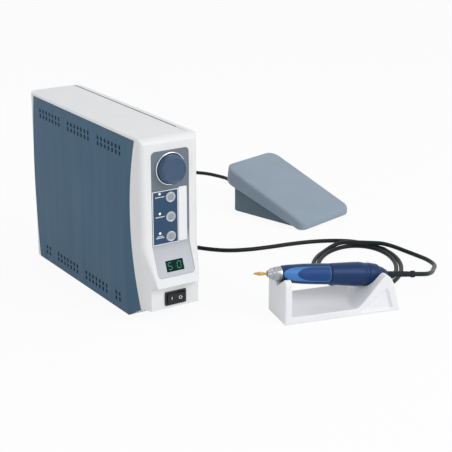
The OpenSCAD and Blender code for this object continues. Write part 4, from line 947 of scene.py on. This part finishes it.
@dataclass
class Cords:
    """The motor cord with its two loops, the pedal cord with its stored coil, and the ribs of their plugs."""

    motor_d: float = 5.6
    pedal_d: float = 5.4
    loop_middle: tuple[float, float] = (286.3, -127.3)
    loop_axes: tuple[float, float] = (86.0, 56.0)
    loop_turn: float = 51.25
    loop_step: float = 6.4
    loop_from: float = 42.0
    loop_to: float = 462.0
    coil_middle: tuple[float, float] = (130.0, 272.0)
    coil_r: float = 41.0
    coil_step: float = 6.2
    coil_half: float = 1080.0
    boot_end: float = 193.0
    gland: Spot = (24.0, 149.0, 22.0)
    motor_exit: Spot = (0.0, 195.1, 70.0)
    pedal_exit: Spot = (0.0, 195.1, 100.0)
    rib_start: float = 33.0

    def loop_at(self, a: float, inward: float, z: float) -> np.ndarray:
        """A point of the motor cord's loop.

        Args:
            a: Angle in degrees.
            inward: Distance inside the loop's outermost line.
            z: Height.

        Returns:
            The point on the table.
        """
        x = (self.loop_axes[0] - inward) * math.cos(math.radians(a))
        y = -(self.loop_axes[1] - inward) * math.sin(math.radians(a))
        c, s = math.cos(math.radians(self.loop_turn)), math.sin(math.radians(self.loop_turn))
        return np.array((self.loop_middle[0] + x * c - y * s, self.loop_middle[1] + x * s + y * c, z))

    def wound(self, a: float) -> float:
        """How far the loop has wound inwards at an angle."""
        return self.loop_step * (a - self.loop_from) / 360

    def loop_point(self, a: float) -> np.ndarray:
        """A point of the motor cord's loop on the table, by angle in degrees."""
        return self.loop_at(a, self.wound(a), self.motor_d / 2)

    def tail_point(self, a: float) -> np.ndarray:
        """A point of the tail where it climbs over the first turn and lies outside it.

        Args:
            a: Angle in degrees, past the loop's end.

        Returns:
            The point.
        """
        past = a - self.loop_to
        out = 2 * self.loop_step * soft_step((past - 33) / 75)
        up = soft_step((past - 3) / 35) - soft_step((past - 110) / 36)
        return self.loop_at(a, self.wound(a) - out, self.motor_d / 2 + up * (self.motor_d + 0.5))

    def coil_point(self, a: float) -> np.ndarray:
        """A point of the pedal cord's coil: in below, half a turn of climb, out above.

        Args:
            a: Angle in degrees from the coil's start.

        Returns:
            The point.
        """
        half, climb = self.coil_half, a - self.coil_half
        if climb <= 0:
            s, k = a, 0.0
        elif climb <= 180:
            s, k = half + 70 * math.sin(math.radians(climb)), climb / 180
        else:
            s, k = 2 * half + 180 - a, 1.0
        r = self.coil_r - self.coil_step * s / 360
        x, y = self.coil_middle
        return np.array((x + r * math.cos(math.radians(a)), y - r * math.sin(math.radians(a)),
                         self.pedal_d / 2 + self.coil_step * k))

    def pedal_point(self, x: float, y: float, z: float) -> np.ndarray:
        """A point of the pedal's own frame, set on the table."""
        c, s = math.cos(math.radians(PEDAL_YAW)), math.sin(math.radians(PEDAL_YAW))
        return np.array((PEDAL_AT[0] + x * c - y * s, PEDAL_AT[1] + x * s + y * c, z))

    def motor_path(self) -> tuple[np.ndarray, np.ndarray]:
        """The motor cord's line.

        Returns:
            The stretch that lies on the table, and the tail that rises to the handpiece.
        """
        m = self.motor_d / 2
        loop = np.array([self.loop_point(a) for a in np.arange(self.loop_from, self.loop_to + 0.1, 3)])
        first = self.loop_point(self.loop_from)
        ahead = unit(self.loop_point(self.loop_from + 15) - first)
        x, y, z = self.motor_exit
        lead = eased(np.array([
            (x, y, z), (x, y + 6, z), (1.6, 214, 67), (8, 228, 52), (18, 236, 32), (32, 236, 14),
            (48, 226, 4), (64, 208, m), (82, 180, m), (104, 140, m), (126, 96, m), (142, 62, m), (158, 36, m),
            (178, 16, m), (204, 4, m), (233, -3, m), (262, -8, m), (290, -15, m), (314, -25, m),
            (334, -38.5, m), (346.5, -55, m), (353.5, -77, m), first - 8 * ahead, first]))
        nose, axis = np.array(HAND_NOSE), np.array(HAND_AXIS)
        climb = [self.tail_point(a) for a in np.arange(self.loop_to, self.loop_to + 204.1, 12)]
        over = [(293.5, -53, 3.6), (304, -51.6, 6), (314, -54, 8.4), (324.5, -59.8, 9), (335.5, -67.6, 9),
                (347, -77, 9), (358, -87.5, 9), (367.5, -99.5, 6.6), (374.5, -114.5, 3.8), (378, -134, m)]
        rise = [(378.5, -156, m), (371, -178, 4), (348, -202, 10.5), (327, -223, 18), (311, -237, 24),
                (298, -245.5, 28.2), nose + (self.boot_end + 8) * axis, nose + self.boot_end * axis]
        steps = 6
        split = (len(climb) + len(over) - 1) * steps
        tail = eased(np.array(climb + over + rise), steps)
        return joined(lead, loop, tail[:split + 1]), tail[split:]

    def pedal_path(self) -> np.ndarray:
        """The pedal cord's line.

        Returns:
            Its points from the gland through the coil to the plug.
        """
        p = self.pedal_d / 2
        coil = np.array([self.coil_point(a) for a in np.arange(0, 2 * self.coil_half + 90.1, 5)])
        x, y, z = self.gland
        out = eased(np.array([
            self.pedal_point(x, y, z), self.pedal_point(x, y + 6, z), (342.2, 210, 21.4), (341.8, 222, 18.4),
            (345, 238, 12.4), (351, 259, 6.2), (357, 282, p + 0.4), (358.5, 304, p), (354, 322, p),
            (347, 340, p), (334, 356, p), (314, 367, p), (288, 371, p), (260, 364, p), (232, 348, p),
            (207, 327, p), (186, 304, p), coil[0] + (0, 8, 0), coil[0]]))
        ex, ey, ez = self.pedal_exit
        lead = eased(np.array([
            coil[-1], coil[-1] + (-8, 0, 0), (108, 234, 7), (94, 236, 5.5), (78, 238, 4.6), (62, 239, 9),
            (48, 239, 20), (35, 238, 36), (24, 236, 53), (16, 232.5, 68), (9.5, 227.5, 80.5),
            (4.6, 221, 90.5), (1.2, 212.5, 97.6), (ex, ey + 6, ez), (ex, ey, ez)]))
        return joined(out, coil, lead)

    def build(self) -> None:
        """Sweeps the cords and rings their plugs with ribs."""
        table, tail = self.motor_path()
        pedal = self.pedal_path()
        motor = settle(tube("motor_cord", table, self.motor_d), CORD_PVC, "set", "cord_pvc",
                       "motor_cord_lead", "motor_cord_loop")
        riser = tube("motor_cord_tail_end", tail, self.motor_d)
        riser.data.materials.append(CORD_PVC.material())
        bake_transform(riser)
        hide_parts("motor_cord_tail")
        lead = settle(tube("pedal_cord_run", pedal, self.pedal_d), CORD_PVC, "set", "cord_pvc",
                      "pedal_cord", "pedal_cord_coil", "pedal_cord_lead")
        ribs = RingRule()
        for name, (x, y, z) in (("motor_plug_ribs", self.motor_exit), ("pedal_plug_ribs", self.pedal_exit)):
            start = Matrix.Translation((x, y - self.rib_start, z))
            place = start @ Matrix.Rotation(math.radians(-90), 4, "X")
            rib = ribs.make(name, place, BLACK_NYLON, {"Count": 6, "Pitch": 2.4, "Radius": 8.0, "Wire": 0.55})
            settle(rib, BLACK_NYLON, "set", "black_nylon")
        dress(BLACK_NYLON, "motor_plug", "pedal_plug")


@dataclass
class ControlShell:
    """White front housing, top and rear, blue side covers, the tray below, and a dark strip in the top's
    groove that is painted shade.
    """

    housing_round: float = 1.8
    cover_round: float = 0.6
    groove_x: float = 28.6
    # A dark strip in the top's parting groove: painted shade standing in for the shadow in the gap.
    shadow_strip_w: float = 1.5
    shadow_strip_h: float = 1.0
    shadow_strip_proud: float = 0.12
    shadow_strip_short: tuple[float, float] = (22.0, 2.0)

    def build(self) -> None:
        """Rounds the edges of the mouldings and gives them their plastics."""
        settle(softened("front_housing", "front_housing_shell", self.housing_round), WHITE_ABS, "set",
               "white_abs", "front_housing")
        for node in ("top_cover", "rear_cover", "base_tray"):
            settle(softened(node, node + "_shell", self.cover_round, 2), WHITE_ABS, "set", "white_abs", node)
        dress(BLUE_ABS, "left_panel", "right_panel")
        # Lays the dark strip along the groove as painted shade.
        low, high = (Vector(c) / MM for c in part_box("top_cover"))
        front, rear = self.shadow_strip_short
        line = [(self.groove_x, low.y + front), (self.groove_x, high.y - rear)]
        level = Matrix.Translation((0, 0, high.z + self.shadow_strip_proud - self.shadow_strip_h / 2))
        shadow_strip = ribbon("parting_shadow_strip", line, self.shadow_strip_w, self.shadow_strip_h, level, False)
        settle(shadow_strip, RUBBER, "set", "black_rubber")
        self.dress()

    def dress(self) -> None:
        """Finishes for the fittings on the rear and the works inside."""
        dress(PLAIN_STEEL, "cover_screws")
        dress(BLACK_NYLON, "mains_inlet", "fuse_holder", "cord_sockets")
        dress(CORE_IRON, "transformer_core")
        dress(COPPER_WIRE, "transformer_coil")
        dress(BOARD_LACQUER, "main_board")
        dress(CAP_SLEEVE, "capacitors")
        dress(DARK_ALUMINIUM, "heat_sink")


@dataclass
class FrontControls:
    """Fascia, knob with its ring, keys on their label, display and power switch; sizes in millimetres."""

    fascia_y: float = -139.2
    knob_z: float = 183.0
    knob_r: float = 17.0
    knob_len: float = 12.0
    knob_gap: float = 0.6
    bore_r: float = 3.02
    ring_r: float = 17.5
    ring_w: float = 1.8
    ring_h: float = 3.0
    button_r: float = 6.3
    button_x: float = -14.0
    flange_y: float = -136.0
    lens_r: float = 1.5
    lens_flange: float = 0.6
    print_h: float = 0.12
    slope: float = 20.7
    digit_lean: float = 0.08
    rocker_at: Spot = (0.0, -147.3, 29.5)
    rocker_tip: float = 8.0
    rocker_half: float = 10.5
    rocker_dip: float = 1.8
    mark_at: tuple[float, float] = (0.52, -3.53)

    @staticmethod
    def frontward(y: float, z: float, x: float = 0.0) -> Matrix:
        """A place whose z axis points to the front."""
        return Matrix.Translation((x, y, z)) @ Matrix.Rotation(math.radians(90), 4, "X")

    def build(self) -> None:
        """Makes each control and its print."""
        # The fascia's finish paints light onto its console: paler there by height.
        settle(softened("front_fascia", "fascia_plate", 0.35, 2), FASCIA_FILM_PAINTED_LIGHT, "set", "grey_fascia",
               "front_fascia")
        self.knob()
        self.keys()
        self.display()
        self.switch()
        self.dress()

    def knob(self) -> None:
        """Turns the knob with its dished face, and the bright ring round it."""
        r, h, b = self.knob_r, self.knob_len, self.bore_r
        face = fillet([(0, h - 3), (b, h - 3), (b, 0), (r - 0.4, 0), (r, 0.4), (r, 2), (r - 0.6, h - 2.4),
                       (r - 2.6, h), (r - 3.4, h), (r - 4.2, h - 0.8), (0, h - 0.6)], 0.5, 4)
        place = self.frontward(self.fascia_y - self.knob_gap, self.knob_z)
        settle(lathe("speed_knob_cap", face, place, 96), KNOB_BLUE, "knob", "knob_blue", "speed_knob")
        inner, outer, bead = self.ring_r, self.ring_r + self.ring_w, self.ring_w / 2
        top = [(inner + bead * (1 - math.cos(a)), self.ring_h - bead * (1 - math.sin(a)))
               for a in np.linspace(0, math.pi, 13)]
        place = self.frontward(self.fascia_y, self.knob_z)
        settle(lathe("knob_ring_bright", [(outer, 0), (inner, 0)] + top, place, 96, ring=True), CHROME, "set",
               "bright_ring", "knob_ring")

    def keys(self) -> None:
        """Dished caps with a darker disc in each dish as painted shade, lenses, the white line round the
        label and plain caption bars.
        """
        r = self.button_r
        for name in ("upper", "middle", "lower"):
            low, high = (Vector(c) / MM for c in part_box(name + "_button"))
            tip, out = high.y, high.y - low.y
            flange = tip - self.flange_y
            cap = [(0, 0), (2.5, 0), (2.5, flange), (r + 1, flange), (r + 1, flange + 1.2), (r, flange + 1.2),
                   (r, out - 0.7), (r - 0.7, out), (r - 1.3, out), (r - 1.8, out - 0.35), (0, out - 0.5)]
            place = self.frontward(tip, (low.z + high.z) / 2)
            settle(lathe(name + "_button_cap", fillet(cap, 0.3), place, 48), SILVER_PAINT, "button_" + name,
                   "silver_cap", name + "_button")
            # The darker disc in the dish is painted shade for the hollow centre; its matt roughness is the
            # paint's own.
            dish = [(0, out - 0.8), (r - 2.1, out - 0.7), (r - 2.1, out - 0.36), (r - 2.4, out - 0.3),
                    (0, out - 0.44)]
            settle(lathe(name + "_button_dish_shade", dish, place, 48), DISH_SHADE_PAINT, "button_" + name, "silver_cap")
        low, high = (Vector(c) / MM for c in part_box("indicator_lenses"))
        s, tall, foot = self.lens_r, high.y - low.y, self.lens_r + self.lens_flange
        middles = [low.z + foot, (low.z + high.z) / 2, high.z - foot]
        dome = fillet([(0, 0), (foot, 0), (foot, 1), (s, 1), (s, tall - 0.3), (s * 0.6, tall), (0, tall)],
                      0.3)
        lenses = [lathe(f"lens_{i}", dome, self.frontward(high.y, z, (low.x + high.x) / 2), 24)
                  for i, z in enumerate(middles)]
        settle(merged("indicator_domes", lenses), LENS_ACRYLIC, "set", "lens_clear", "indicator_lenses")
        dress(LABEL_FILM, "key_label")
        dress(WHITE_FILM, "label_strip")
        label = face_place("key_label", Vector((0, -1, 0)), Vector((0, 0, 1)))
        low, high = (Vector(c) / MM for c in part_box("key_label"))
        w, h = high.x - low.x, high.z - low.z
        outline = line_frame("label_outline", w - 0.4, h - 0.4, 1.1, self.print_h, label)
        settle(outline, WHITE_PRINT, "set", "strip_film")
        bars = []
        for i, z in enumerate(middles):
            x, y = self.button_x - label.translation.x, z - label.translation.z
            for down, length in ((3.9, 12.0),) if i else ((3.6, 7.5), (5.4, 11.0)):
                ends = [(x - length / 2, y - down), (x + length / 2, y - down)]
                bars.append(ribbon("caption_bar", ends, 0.9, 0.16, label, False))
        settle(merged("caption_bars", bars), WHITE_PRINT, "set", "strip_film")

    def display(self) -> None:
        """Smoked window with two lit digits of seven segments."""
        a = math.radians(self.slope)
        window = face_place("display_window", Vector((0, -math.cos(a), math.sin(a))),
                            Vector((0, math.sin(a), math.cos(a))))
        dress(SMOKED_ACRYLIC, "display_window")
        half, tall, wide = 2.3, 3.9, 0.9
        spots = {"a": (0, tall, 0), "g": (0, 0, 0), "d": (0, -tall, 0), "f": (-half, tall / 2, 90),
                 "b": (half, tall / 2, 90), "e": (-half, -tall / 2, 90), "c": (half, -tall / 2, 90)}
        bars = []
        for middle, lit in ((-6.4, "afgcd"), (5.6, "abcdef")):
            for key in lit:
                x, y, turn = spots[key]
                slant = self.digit_lean * y
                bars.append((middle + x + slant, y, 2 * half if turn == 0 else tall, wide, turn))
        rule = BarRule()
        digits = rule.make("display_digits", window, LIT_SEGMENT, {"Thickness": self.print_h},
                           rule.points("digits", bars))
        settle(digits, LIT_SEGMENT, "set", "display_glass")

    def switch(self) -> None:
        """Rocker in its frame, with a bar and a ring printed on its two wings."""
        settle(softened("switch_frame", "switch_bezel", 0.5, 2), BLACK_NYLON, "set", "black_nylon",
               "switch_frame")
        settle(softened("power_rocker", "rocker_key", 0.4, 2), BLACK_NYLON, "rocker", "black_nylon",
               "power_rocker")
        pivot = Matrix.Translation(self.rocker_at) @ Matrix.Rotation(math.radians(-self.rocker_tip), 4, "Z")
        marks = []
        for side in (-1, 1):
            along = Vector((self.rocker_half, -side * self.rocker_dip, 0)).normalized()
            out = Vector((along.y, -along.x, 0))
            wing = Matrix((along, Vector((0, 0, 1)), out)).transposed().to_4x4()
            share, front = self.mark_at
            wing.translation = Vector((side * self.rocker_half * share, front, 0))
            if side < 0:
                bar = [(0.4, -1.6), (0.4, 1.6)]
                marks.append(ribbon("mark_bar", bar, 0.8, self.print_h, pivot @ wing, False))
            else:
                ring = [(1.7 * math.cos(t), 1.7 * math.sin(t))
                        for t in np.linspace(0, 2 * math.pi, 28, endpoint=False)]
                marks.append(ribbon("mark_ring", ring, 0.7, self.print_h, pivot @ wing, True))
        settle(merged("rocker_marks", marks), WHITE_PRINT, "rocker", "strip_film")

    def dress(self) -> None:
        """Finishes for the parts behind the fascia."""
        dress(PLAIN_STEEL, "knob_shaft")
        dress(ZINC_PLATE, "speed_potentiometer")
        dress(BOARD_LACQUER, "control_board")
        dress(BLACK_NYLON, "tact_switches", "display_module")


@dataclass
class Handpiece:
    """Nose, grip sleeve with its inlays, motor case, rear cap, boot and bur; millimetres from the nose."""

    facing: Spot = (-0.511, -0.797, 0.320)
    bur_out: float = 17.0
    bur_neck: float = 15.0
    sleeve: tuple[tuple[float, float], ...] = (
        (8.8, 17.0), (9.6, 18.0), (10.5, 25.0), (11.3, 37.0), (11.9, 45.0), (12.3, 59.0), (12.5, 77.2),
        (12.1, 78.2))

    def place(self) -> Matrix:
        """The handpiece's frame.

        Returns:
            A place with z along the handpiece from its nose and x to the side that shows the inlays.
        """
        z = Vector(HAND_AXIS)
        view = Vector(self.facing)
        x = (view - z * view.dot(z)).normalized()
        frame_of = Matrix((x, z.cross(x), z)).transposed().to_4x4()
        frame_of.translation = Vector(HAND_NOSE)
        return frame_of

    def sleeve_r(self, t: float) -> float:
        """Outside radius of the sleeve at a distance from the nose."""
        return float(np.interp(t, [p[1] for p in self.sleeve], [p[0] for p in self.sleeve]))

    def build(self) -> None:
        """Turns the handpiece's parts and lays the inlays on the sleeve."""
        place = self.place()
        nose = fillet([(2.1, 0), (3.2, 0), (3.8, 0.8), (4.8, 2.4), (6, 4.2), (7, 6.4), (6.7, 6.8), (6.7, 7.4),
                       (7.4, 7.8), (8.1, 11), (8.6, 14), (8.8, 16.7), (6.0, 16.7)], 0.4)
        settle(lathe("nose_cone_turned", nose + [(6.0, 18.5), (2.1, 18.5)], place, ring=True), TURNED_STEEL,
               "handpiece", "satin_steel", "nose_cone")
        outer = fillet(list(self.sleeve), 3.0, 4)
        settle(lathe("grip_sleeve_turned", [(7.5, 17.0)] + outer + [(7.5, 78.2)], place, 96, ring=True),
               BLUE_ANODISED, "sleeve", "blue_anodised", "grip_sleeve")
        case = fillet([(7.5, 78.5), (12.1, 78.5), (12.6, 79.5), (13.4, 92.5), (14.3, 110.0), (14.6, 117.0),
                       (14.2, 121.0), (13.5, 124.5), (13.3, 127.5), (12.0, 127.5)], 2.0, 4)
        settle(lathe("motor_case_turned", case + [(12.0, 80.5), (7.5, 80.5)], place, 96, ring=True),
               BLUE_ANODISED, "handpiece", "blue_anodised", "motor_case")
        cap = fillet([(12.0, 127.5), (13.4, 127.5), (13.2, 133.5), (12.2, 140.7), (11.2, 142.1),
                      (10.4, 142.7), (9.4, 145.5), (8.2, 149.1), (6.2, 152.3), (4.8, 155), (3.3, 155)], 0.8)
        cap += [(3.3, 130), (6.0, 130), (6.0, 121.5), (12.0, 121.5)]
        settle(lathe("rear_cap_turned", cap, place, 96, ring=True), CAP_ANODISED, "handpiece",
               "blue_anodised", "rear_cap")
        boot = fillet([(0, 131), (3.3, 131), (3.3, 188), (4.2, 188.4), (4.2, 192.6), (3.8, 193), (0, 193)],
                      0.4)
        settle(lathe("cord_boot_moulded", boot, place, 32), RUBBER, "handpiece", "cord_pvc", "cord_boot")
        relief = RingRule().make("boot_ribs", place @ Matrix.Translation((0, 0, 158)), RUBBER,
                                 {"Count": 8, "Pitch": 3.4, "Radius": 3.2, "Wire": 0.45})
        settle(relief, RUBBER, "handpiece", "cord_pvc")
        self.bur(place)
        self.inlay("sleeve_leaf", (17.6, 76.6), 46.0, 12.0, 0.10, LIGHT_INLAY, place)
        self.inlay("sleeve_pad", (34.5, 75.9), 40.5, 14.0, 0.30, DEEP_INLAY, place)
        dress(PLAIN_STEEL, "collet", "rotor_shaft", "spindle_bearings", "spindle_tube")
        dress(CORE_IRON, "rotor_magnet")
        dress(COPPER_WIRE, "stator_coil")

    def bur(self, place: Matrix) -> None:
        """A fluted cutting head on a plain shank.

        Args:
            place: The handpiece's frame.
        """
        out, neck = self.bur_out, self.bur_neck
        head = [(0, 0), (0.7, 0.3), (1.6, 4), (2.3, 8), (2.1, 12), (1.4, 14), (1.18, neck), (1.18, out + 17),
                (0, out + 17)]
        rows = fillet(head, 0.5)
        dense = [rows[0]]
        for a, b in zip(rows, rows[1:]):
            steps = max(int(abs(b[1] - a[1]) / 0.5), 1) if b[1] < neck else 1
            dense += [(a[0] + (b[0] - a[0]) * k / steps, a[1] + (b[1] - a[1]) * k / steps)
                      for k in range(1, steps + 1)]

        def flutes(a: float, t: float) -> float:
            """Twisted cutting edges that fade out at the neck.

            Args:
                a: Angle round the bur.
                t: Distance from the nose.

            Returns:
                Factor on the radius.
            """
            t += out
            fade = min(max((13.5 - t) / 2, 0), 1) * min(t / 2, 1)
            return 1 - 0.13 * fade * (0.5 + 0.5 * math.sin(10 * a + 0.5 * t))

        local = [(r, t - out) for r, t in dense]
        settle(lathe("bur_fluted", local, place, 80, shape=flutes), GILT_CARBIDE, "spindle", "gold_bur",
               "bur")

    def inlay(self, name: str, span: tuple[float, float], half: float, blunt: float, proud: float,
              finish: Finish, place: Matrix) -> None:
        """A thin patch on the sleeve: round at the nose end, nearly square at the other.

        Args:
            name: Name of the patch.
            span: First and last distance from the nose.
            half: Half of its width in degrees.
            blunt: Length over which the round end opens.
            proud: How far it stands out of the sleeve.
            finish: Its finish.
            place: The handpiece's frame.
        """
        rows, columns = 72, 28
        first, last = span
        points: list[Vector] = []
        ease = [0.5 - 0.5 * math.cos(math.pi * i / rows) for i in range(rows + 1)]
        under = -0.4
        for lift in (proud, under):
            for e in ease:
                t = first + (last - first) * e
                front = min((t - first) / (1.6 * blunt), 1.0)
                rear = min((last - t) / 3.0, 1.0)
                open_by = math.sqrt(1 - (1 - front) ** 2) * (0.82 + 0.18 * math.sqrt(1 - (1 - rear) ** 2))
                for k in range(columns + 1):
                    a = math.radians(half) * max(open_by, 0.01) * (2 * k / columns - 1)
                    r = self.sleeve_r(t) + lift
                    points.append(place @ Vector((r * math.cos(a), r * math.sin(a), t)))
        row, layer = columns + 1, (rows + 1) * (columns + 1)
        faces = []
        for i in range(rows):
            for k in range(columns):
                quad = (i * row + k, i * row + k + 1, (i + 1) * row + k + 1, (i + 1) * row + k)
                faces += [quad, tuple(layer + n for n in reversed(quad))]
            for k in (0, columns):
                faces.append((i * row + k, (i + 1) * row + k, layer + (i + 1) * row + k, layer + i * row + k))
        for i in (0, rows):
            faces += [(i * row + k, i * row + k + 1, layer + i * row + k + 1, layer + i * row + k)
                      for k in range(columns)]
        settle(mesh_piece(name, points, faces, sharp=50), finish, "sleeve", "blue_anodised")


@dataclass
class Stand:
    """The white rest for the handpiece; its yaw is the handpiece's, in degrees."""

    cell: float = 0.8
    rounds: int = 16
    yaw: float = -13.3

    def build(self) -> None:
        """Melts the moulding's edges round."""
        settle(moulded("stand_body", "stand_moulding", self.cell, self.rounds, self.yaw), STAND_ABS, "set",
               "stand_abs", "stand_body")


@dataclass
class Pedal:
    """Foot pedal: plate on a hinge pin over a base, with its spring, feet and cord gland."""

    cell: float = 1.0
    base_rounds: int = 6
    half: float = 54.5
    reach: tuple[float, float] = (-3.5, 145.5)
    corner: tuple[float, float] = (11.0, 16.0)
    low: float = 14.5
    rise: float = 0.3838
    skirt: tuple[float, float, float] = (12.0, 1.5, 0.3346)
    edge: float = 4.2
    draft: float = 2.0
    fade: float = 55.0
    wall: float = 3.2
    spring_y: float = 85.2
    spring_r: float = 7.0
    wire: float = 1.6
    turns: float = 6.0
    floor_z: float = 5.0
    spring_top: float = 35.2
    seat_r: float = 10.0
    seat_sides: int = 32
    gland: Spot = (24.0, 137.0, 22.0)

    def place(self) -> Matrix:
        """The pedal's frame on the table."""
        return Matrix.Translation((*PEDAL_AT, 0)) @ Matrix.Rotation(math.radians(PEDAL_YAW), 4, "Z")

    def outline(self, inset: float) -> list[tuple[float, float]]:
        """Points round the plate's plan.

        Args:
            inset: Distance inside its widest line.

        Returns:
            The points, from the left of the toe anticlockwise.
        """
        toe, heel = self.corner
        points = []
        for sx, y, r, first in ((-1, self.reach[0], toe, 180), (1, self.reach[0], toe, 270),
                                (1, self.reach[1], heel, 0), (-1, self.reach[1], heel, 90)):
            up = 1 if y == self.reach[0] else -1
            for k in range(9):
                a = math.radians(first + 90 * k / 8)
                points.append((sx * (self.half - r) + max(r - inset, 0.3) * math.cos(a),
                               y + up * r + max(r - inset, 0.3) * math.sin(a)))
        return points

    def plate(self) -> bpy.types.Object:
        """The treadle: a sloping plate with a round edge and a skirt that flares downwards.

        Returns:
            The plate, joined with the seat of its spring.
        """
        hinge, foot, climb = self.skirt
        rows: list[list[Vector]] = []

        def ring(inset: float, drop: float | None = None, lift: float = 0.0, flare: float = 0.0) -> None:
            """Adds a ring of points round the plate.

            Args:
                inset: Distance inside the plate's widest line.
                drop: Distance below the plate's top; without it, the ring follows the skirt's lower edge.
                lift: Distance above the skirt's lower edge.
                flare: How far the ring stands out, fading to nothing at the toe.
            """
            row = []
            for near, far in zip(self.outline(inset), self.outline(inset - flare)):
                share = soft_step(min(max(near[1] / self.fade, 0), 1))
                x, y = (a + (b - a) * share for a, b in zip(near, far))
                if drop is None:
                    z = foot + climb * max(y - hinge, 0) + lift
                else:
                    z = self.low + self.rise * y - drop
                row.append(Vector((x, y, z)))
            rows.append(row)

        for k in range(7):
            a = math.radians(15 * k)
            ring(self.edge * (1 - math.sin(a)), self.edge * (1 - math.cos(a)))
        for inset, lift, flare in ((0.0, 4.0, 0.8), (0.5, 1.8, 1.0), (1.3, 0.6, 1.0), (2.3, 0.0, 1.0),
                                   (self.wall - 0.4, 0.0, 0.0), (self.wall, 0.6, 0.0)):
            ring(inset, None, lift, flare * self.draft)
        ring(self.wall, self.wall + 1.2)
        ring(self.wall + 1.2, self.wall)
        place, count = self.place(), len(rows[0])
        points = [place @ p for row in rows for p in row]
        faces = [tuple(range(count)), tuple((len(rows) - 1) * count + k for k in reversed(range(count)))]
        for i in range(len(rows) - 1):
            for k in range(count):
                n = (k + 1) % count
                faces.append((i * count + k, (i + 1) * count + k, (i + 1) * count + n, i * count + n))
        shell = mesh_piece("plate_shell", points, faces, sharp=40)
        return merged("pedal_plate_cast", [shell, self.seat()])

    def seat(self) -> bpy.types.Object:
        """The round boss under the plate that the spring presses on.

        Returns:
            The boss, which reaches into the plate.
        """
        place, n, r = self.place(), self.seat_sides, self.seat_r
        turns = [(r * math.cos(a), self.spring_y + r * math.sin(a))
                 for a in np.linspace(0, 2 * math.pi, n, endpoint=False)]
        points = [place @ Vector((x, y, self.spring_top)) for x, y in turns]
        points += [place @ Vector((x, y, self.low + self.rise * y - 1.5)) for x, y in turns]
        faces = [tuple(reversed(range(n))), tuple(range(n, 2 * n))]
        faces += [(k, (k + 1) % n, n + (k + 1) % n, n + k) for k in range(n)]
        return mesh_piece("spring_seat", points, faces, sharp=40)

    def build(self) -> None:
        """Makes the two castings, the spring and the small parts."""
        settle(self.plate(), PEDAL_PAINT, "pedal", "pedal_grey", "pedal_plate")
        base = moulded("pedal_base", "pedal_base_moulding", self.cell, self.base_rounds, PEDAL_YAW)
        settle(base, PEDAL_BASE, "set", "pedal_dark", "pedal_base")
        settle(softened("pedal_feet", "pedal_feet_round", 0.5, 2), RUBBER, "set", "black_rubber",
               "pedal_feet")
        rise = self.spring_top - self.floor_z - self.wire - 0.4
        at = self.place() @ Matrix.Translation((0, self.spring_y, self.floor_z + self.wire / 2 + 0.2))
        spring = SpringRule().make("return_spring", at, PLAIN_STEEL, {
            "Turns": self.turns, "Radius": self.spring_r, "Rise": rise, "Wire": self.wire / 2})
        settle(spring, PLAIN_STEEL, "set", "steel", "pedal_spring")
        anchor = self.place() @ Vector((0, self.spring_y, self.floor_z))
        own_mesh(spring)
        dress(PLAIN_STEEL, "pedal_pin")
        dress(BOARD_LACQUER, "pedal_sensor")
        dress(BLACK_NYLON, "pedal_gland")
        gland = self.place() @ Matrix.Translation(self.gland) @ Matrix.Rotation(math.radians(-90), 4, "X")
        ribs = RingRule().make("gland_ribs", gland @ Matrix.Translation((0, 0, 2)), BLACK_NYLON,
                               {"Count": 4, "Pitch": 2.2, "Radius": 4.7, "Wire": 0.6})
        settle(ribs, BLACK_NYLON, "set", "black_nylon")


def main() -> None:
    """Builds the scene: camera and cords first, then each sub-assembly."""
    logging.basicConfig(level=logging.INFO, format="%(message)s")
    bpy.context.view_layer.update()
    for part in (Studio(), Cords(), ControlShell(), FrontControls(), Handpiece(), Stand(), Pedal()):
        part.build()
        LOG.info("%s built", type(part).__name__)


if __name__ == "__main__":
    main()
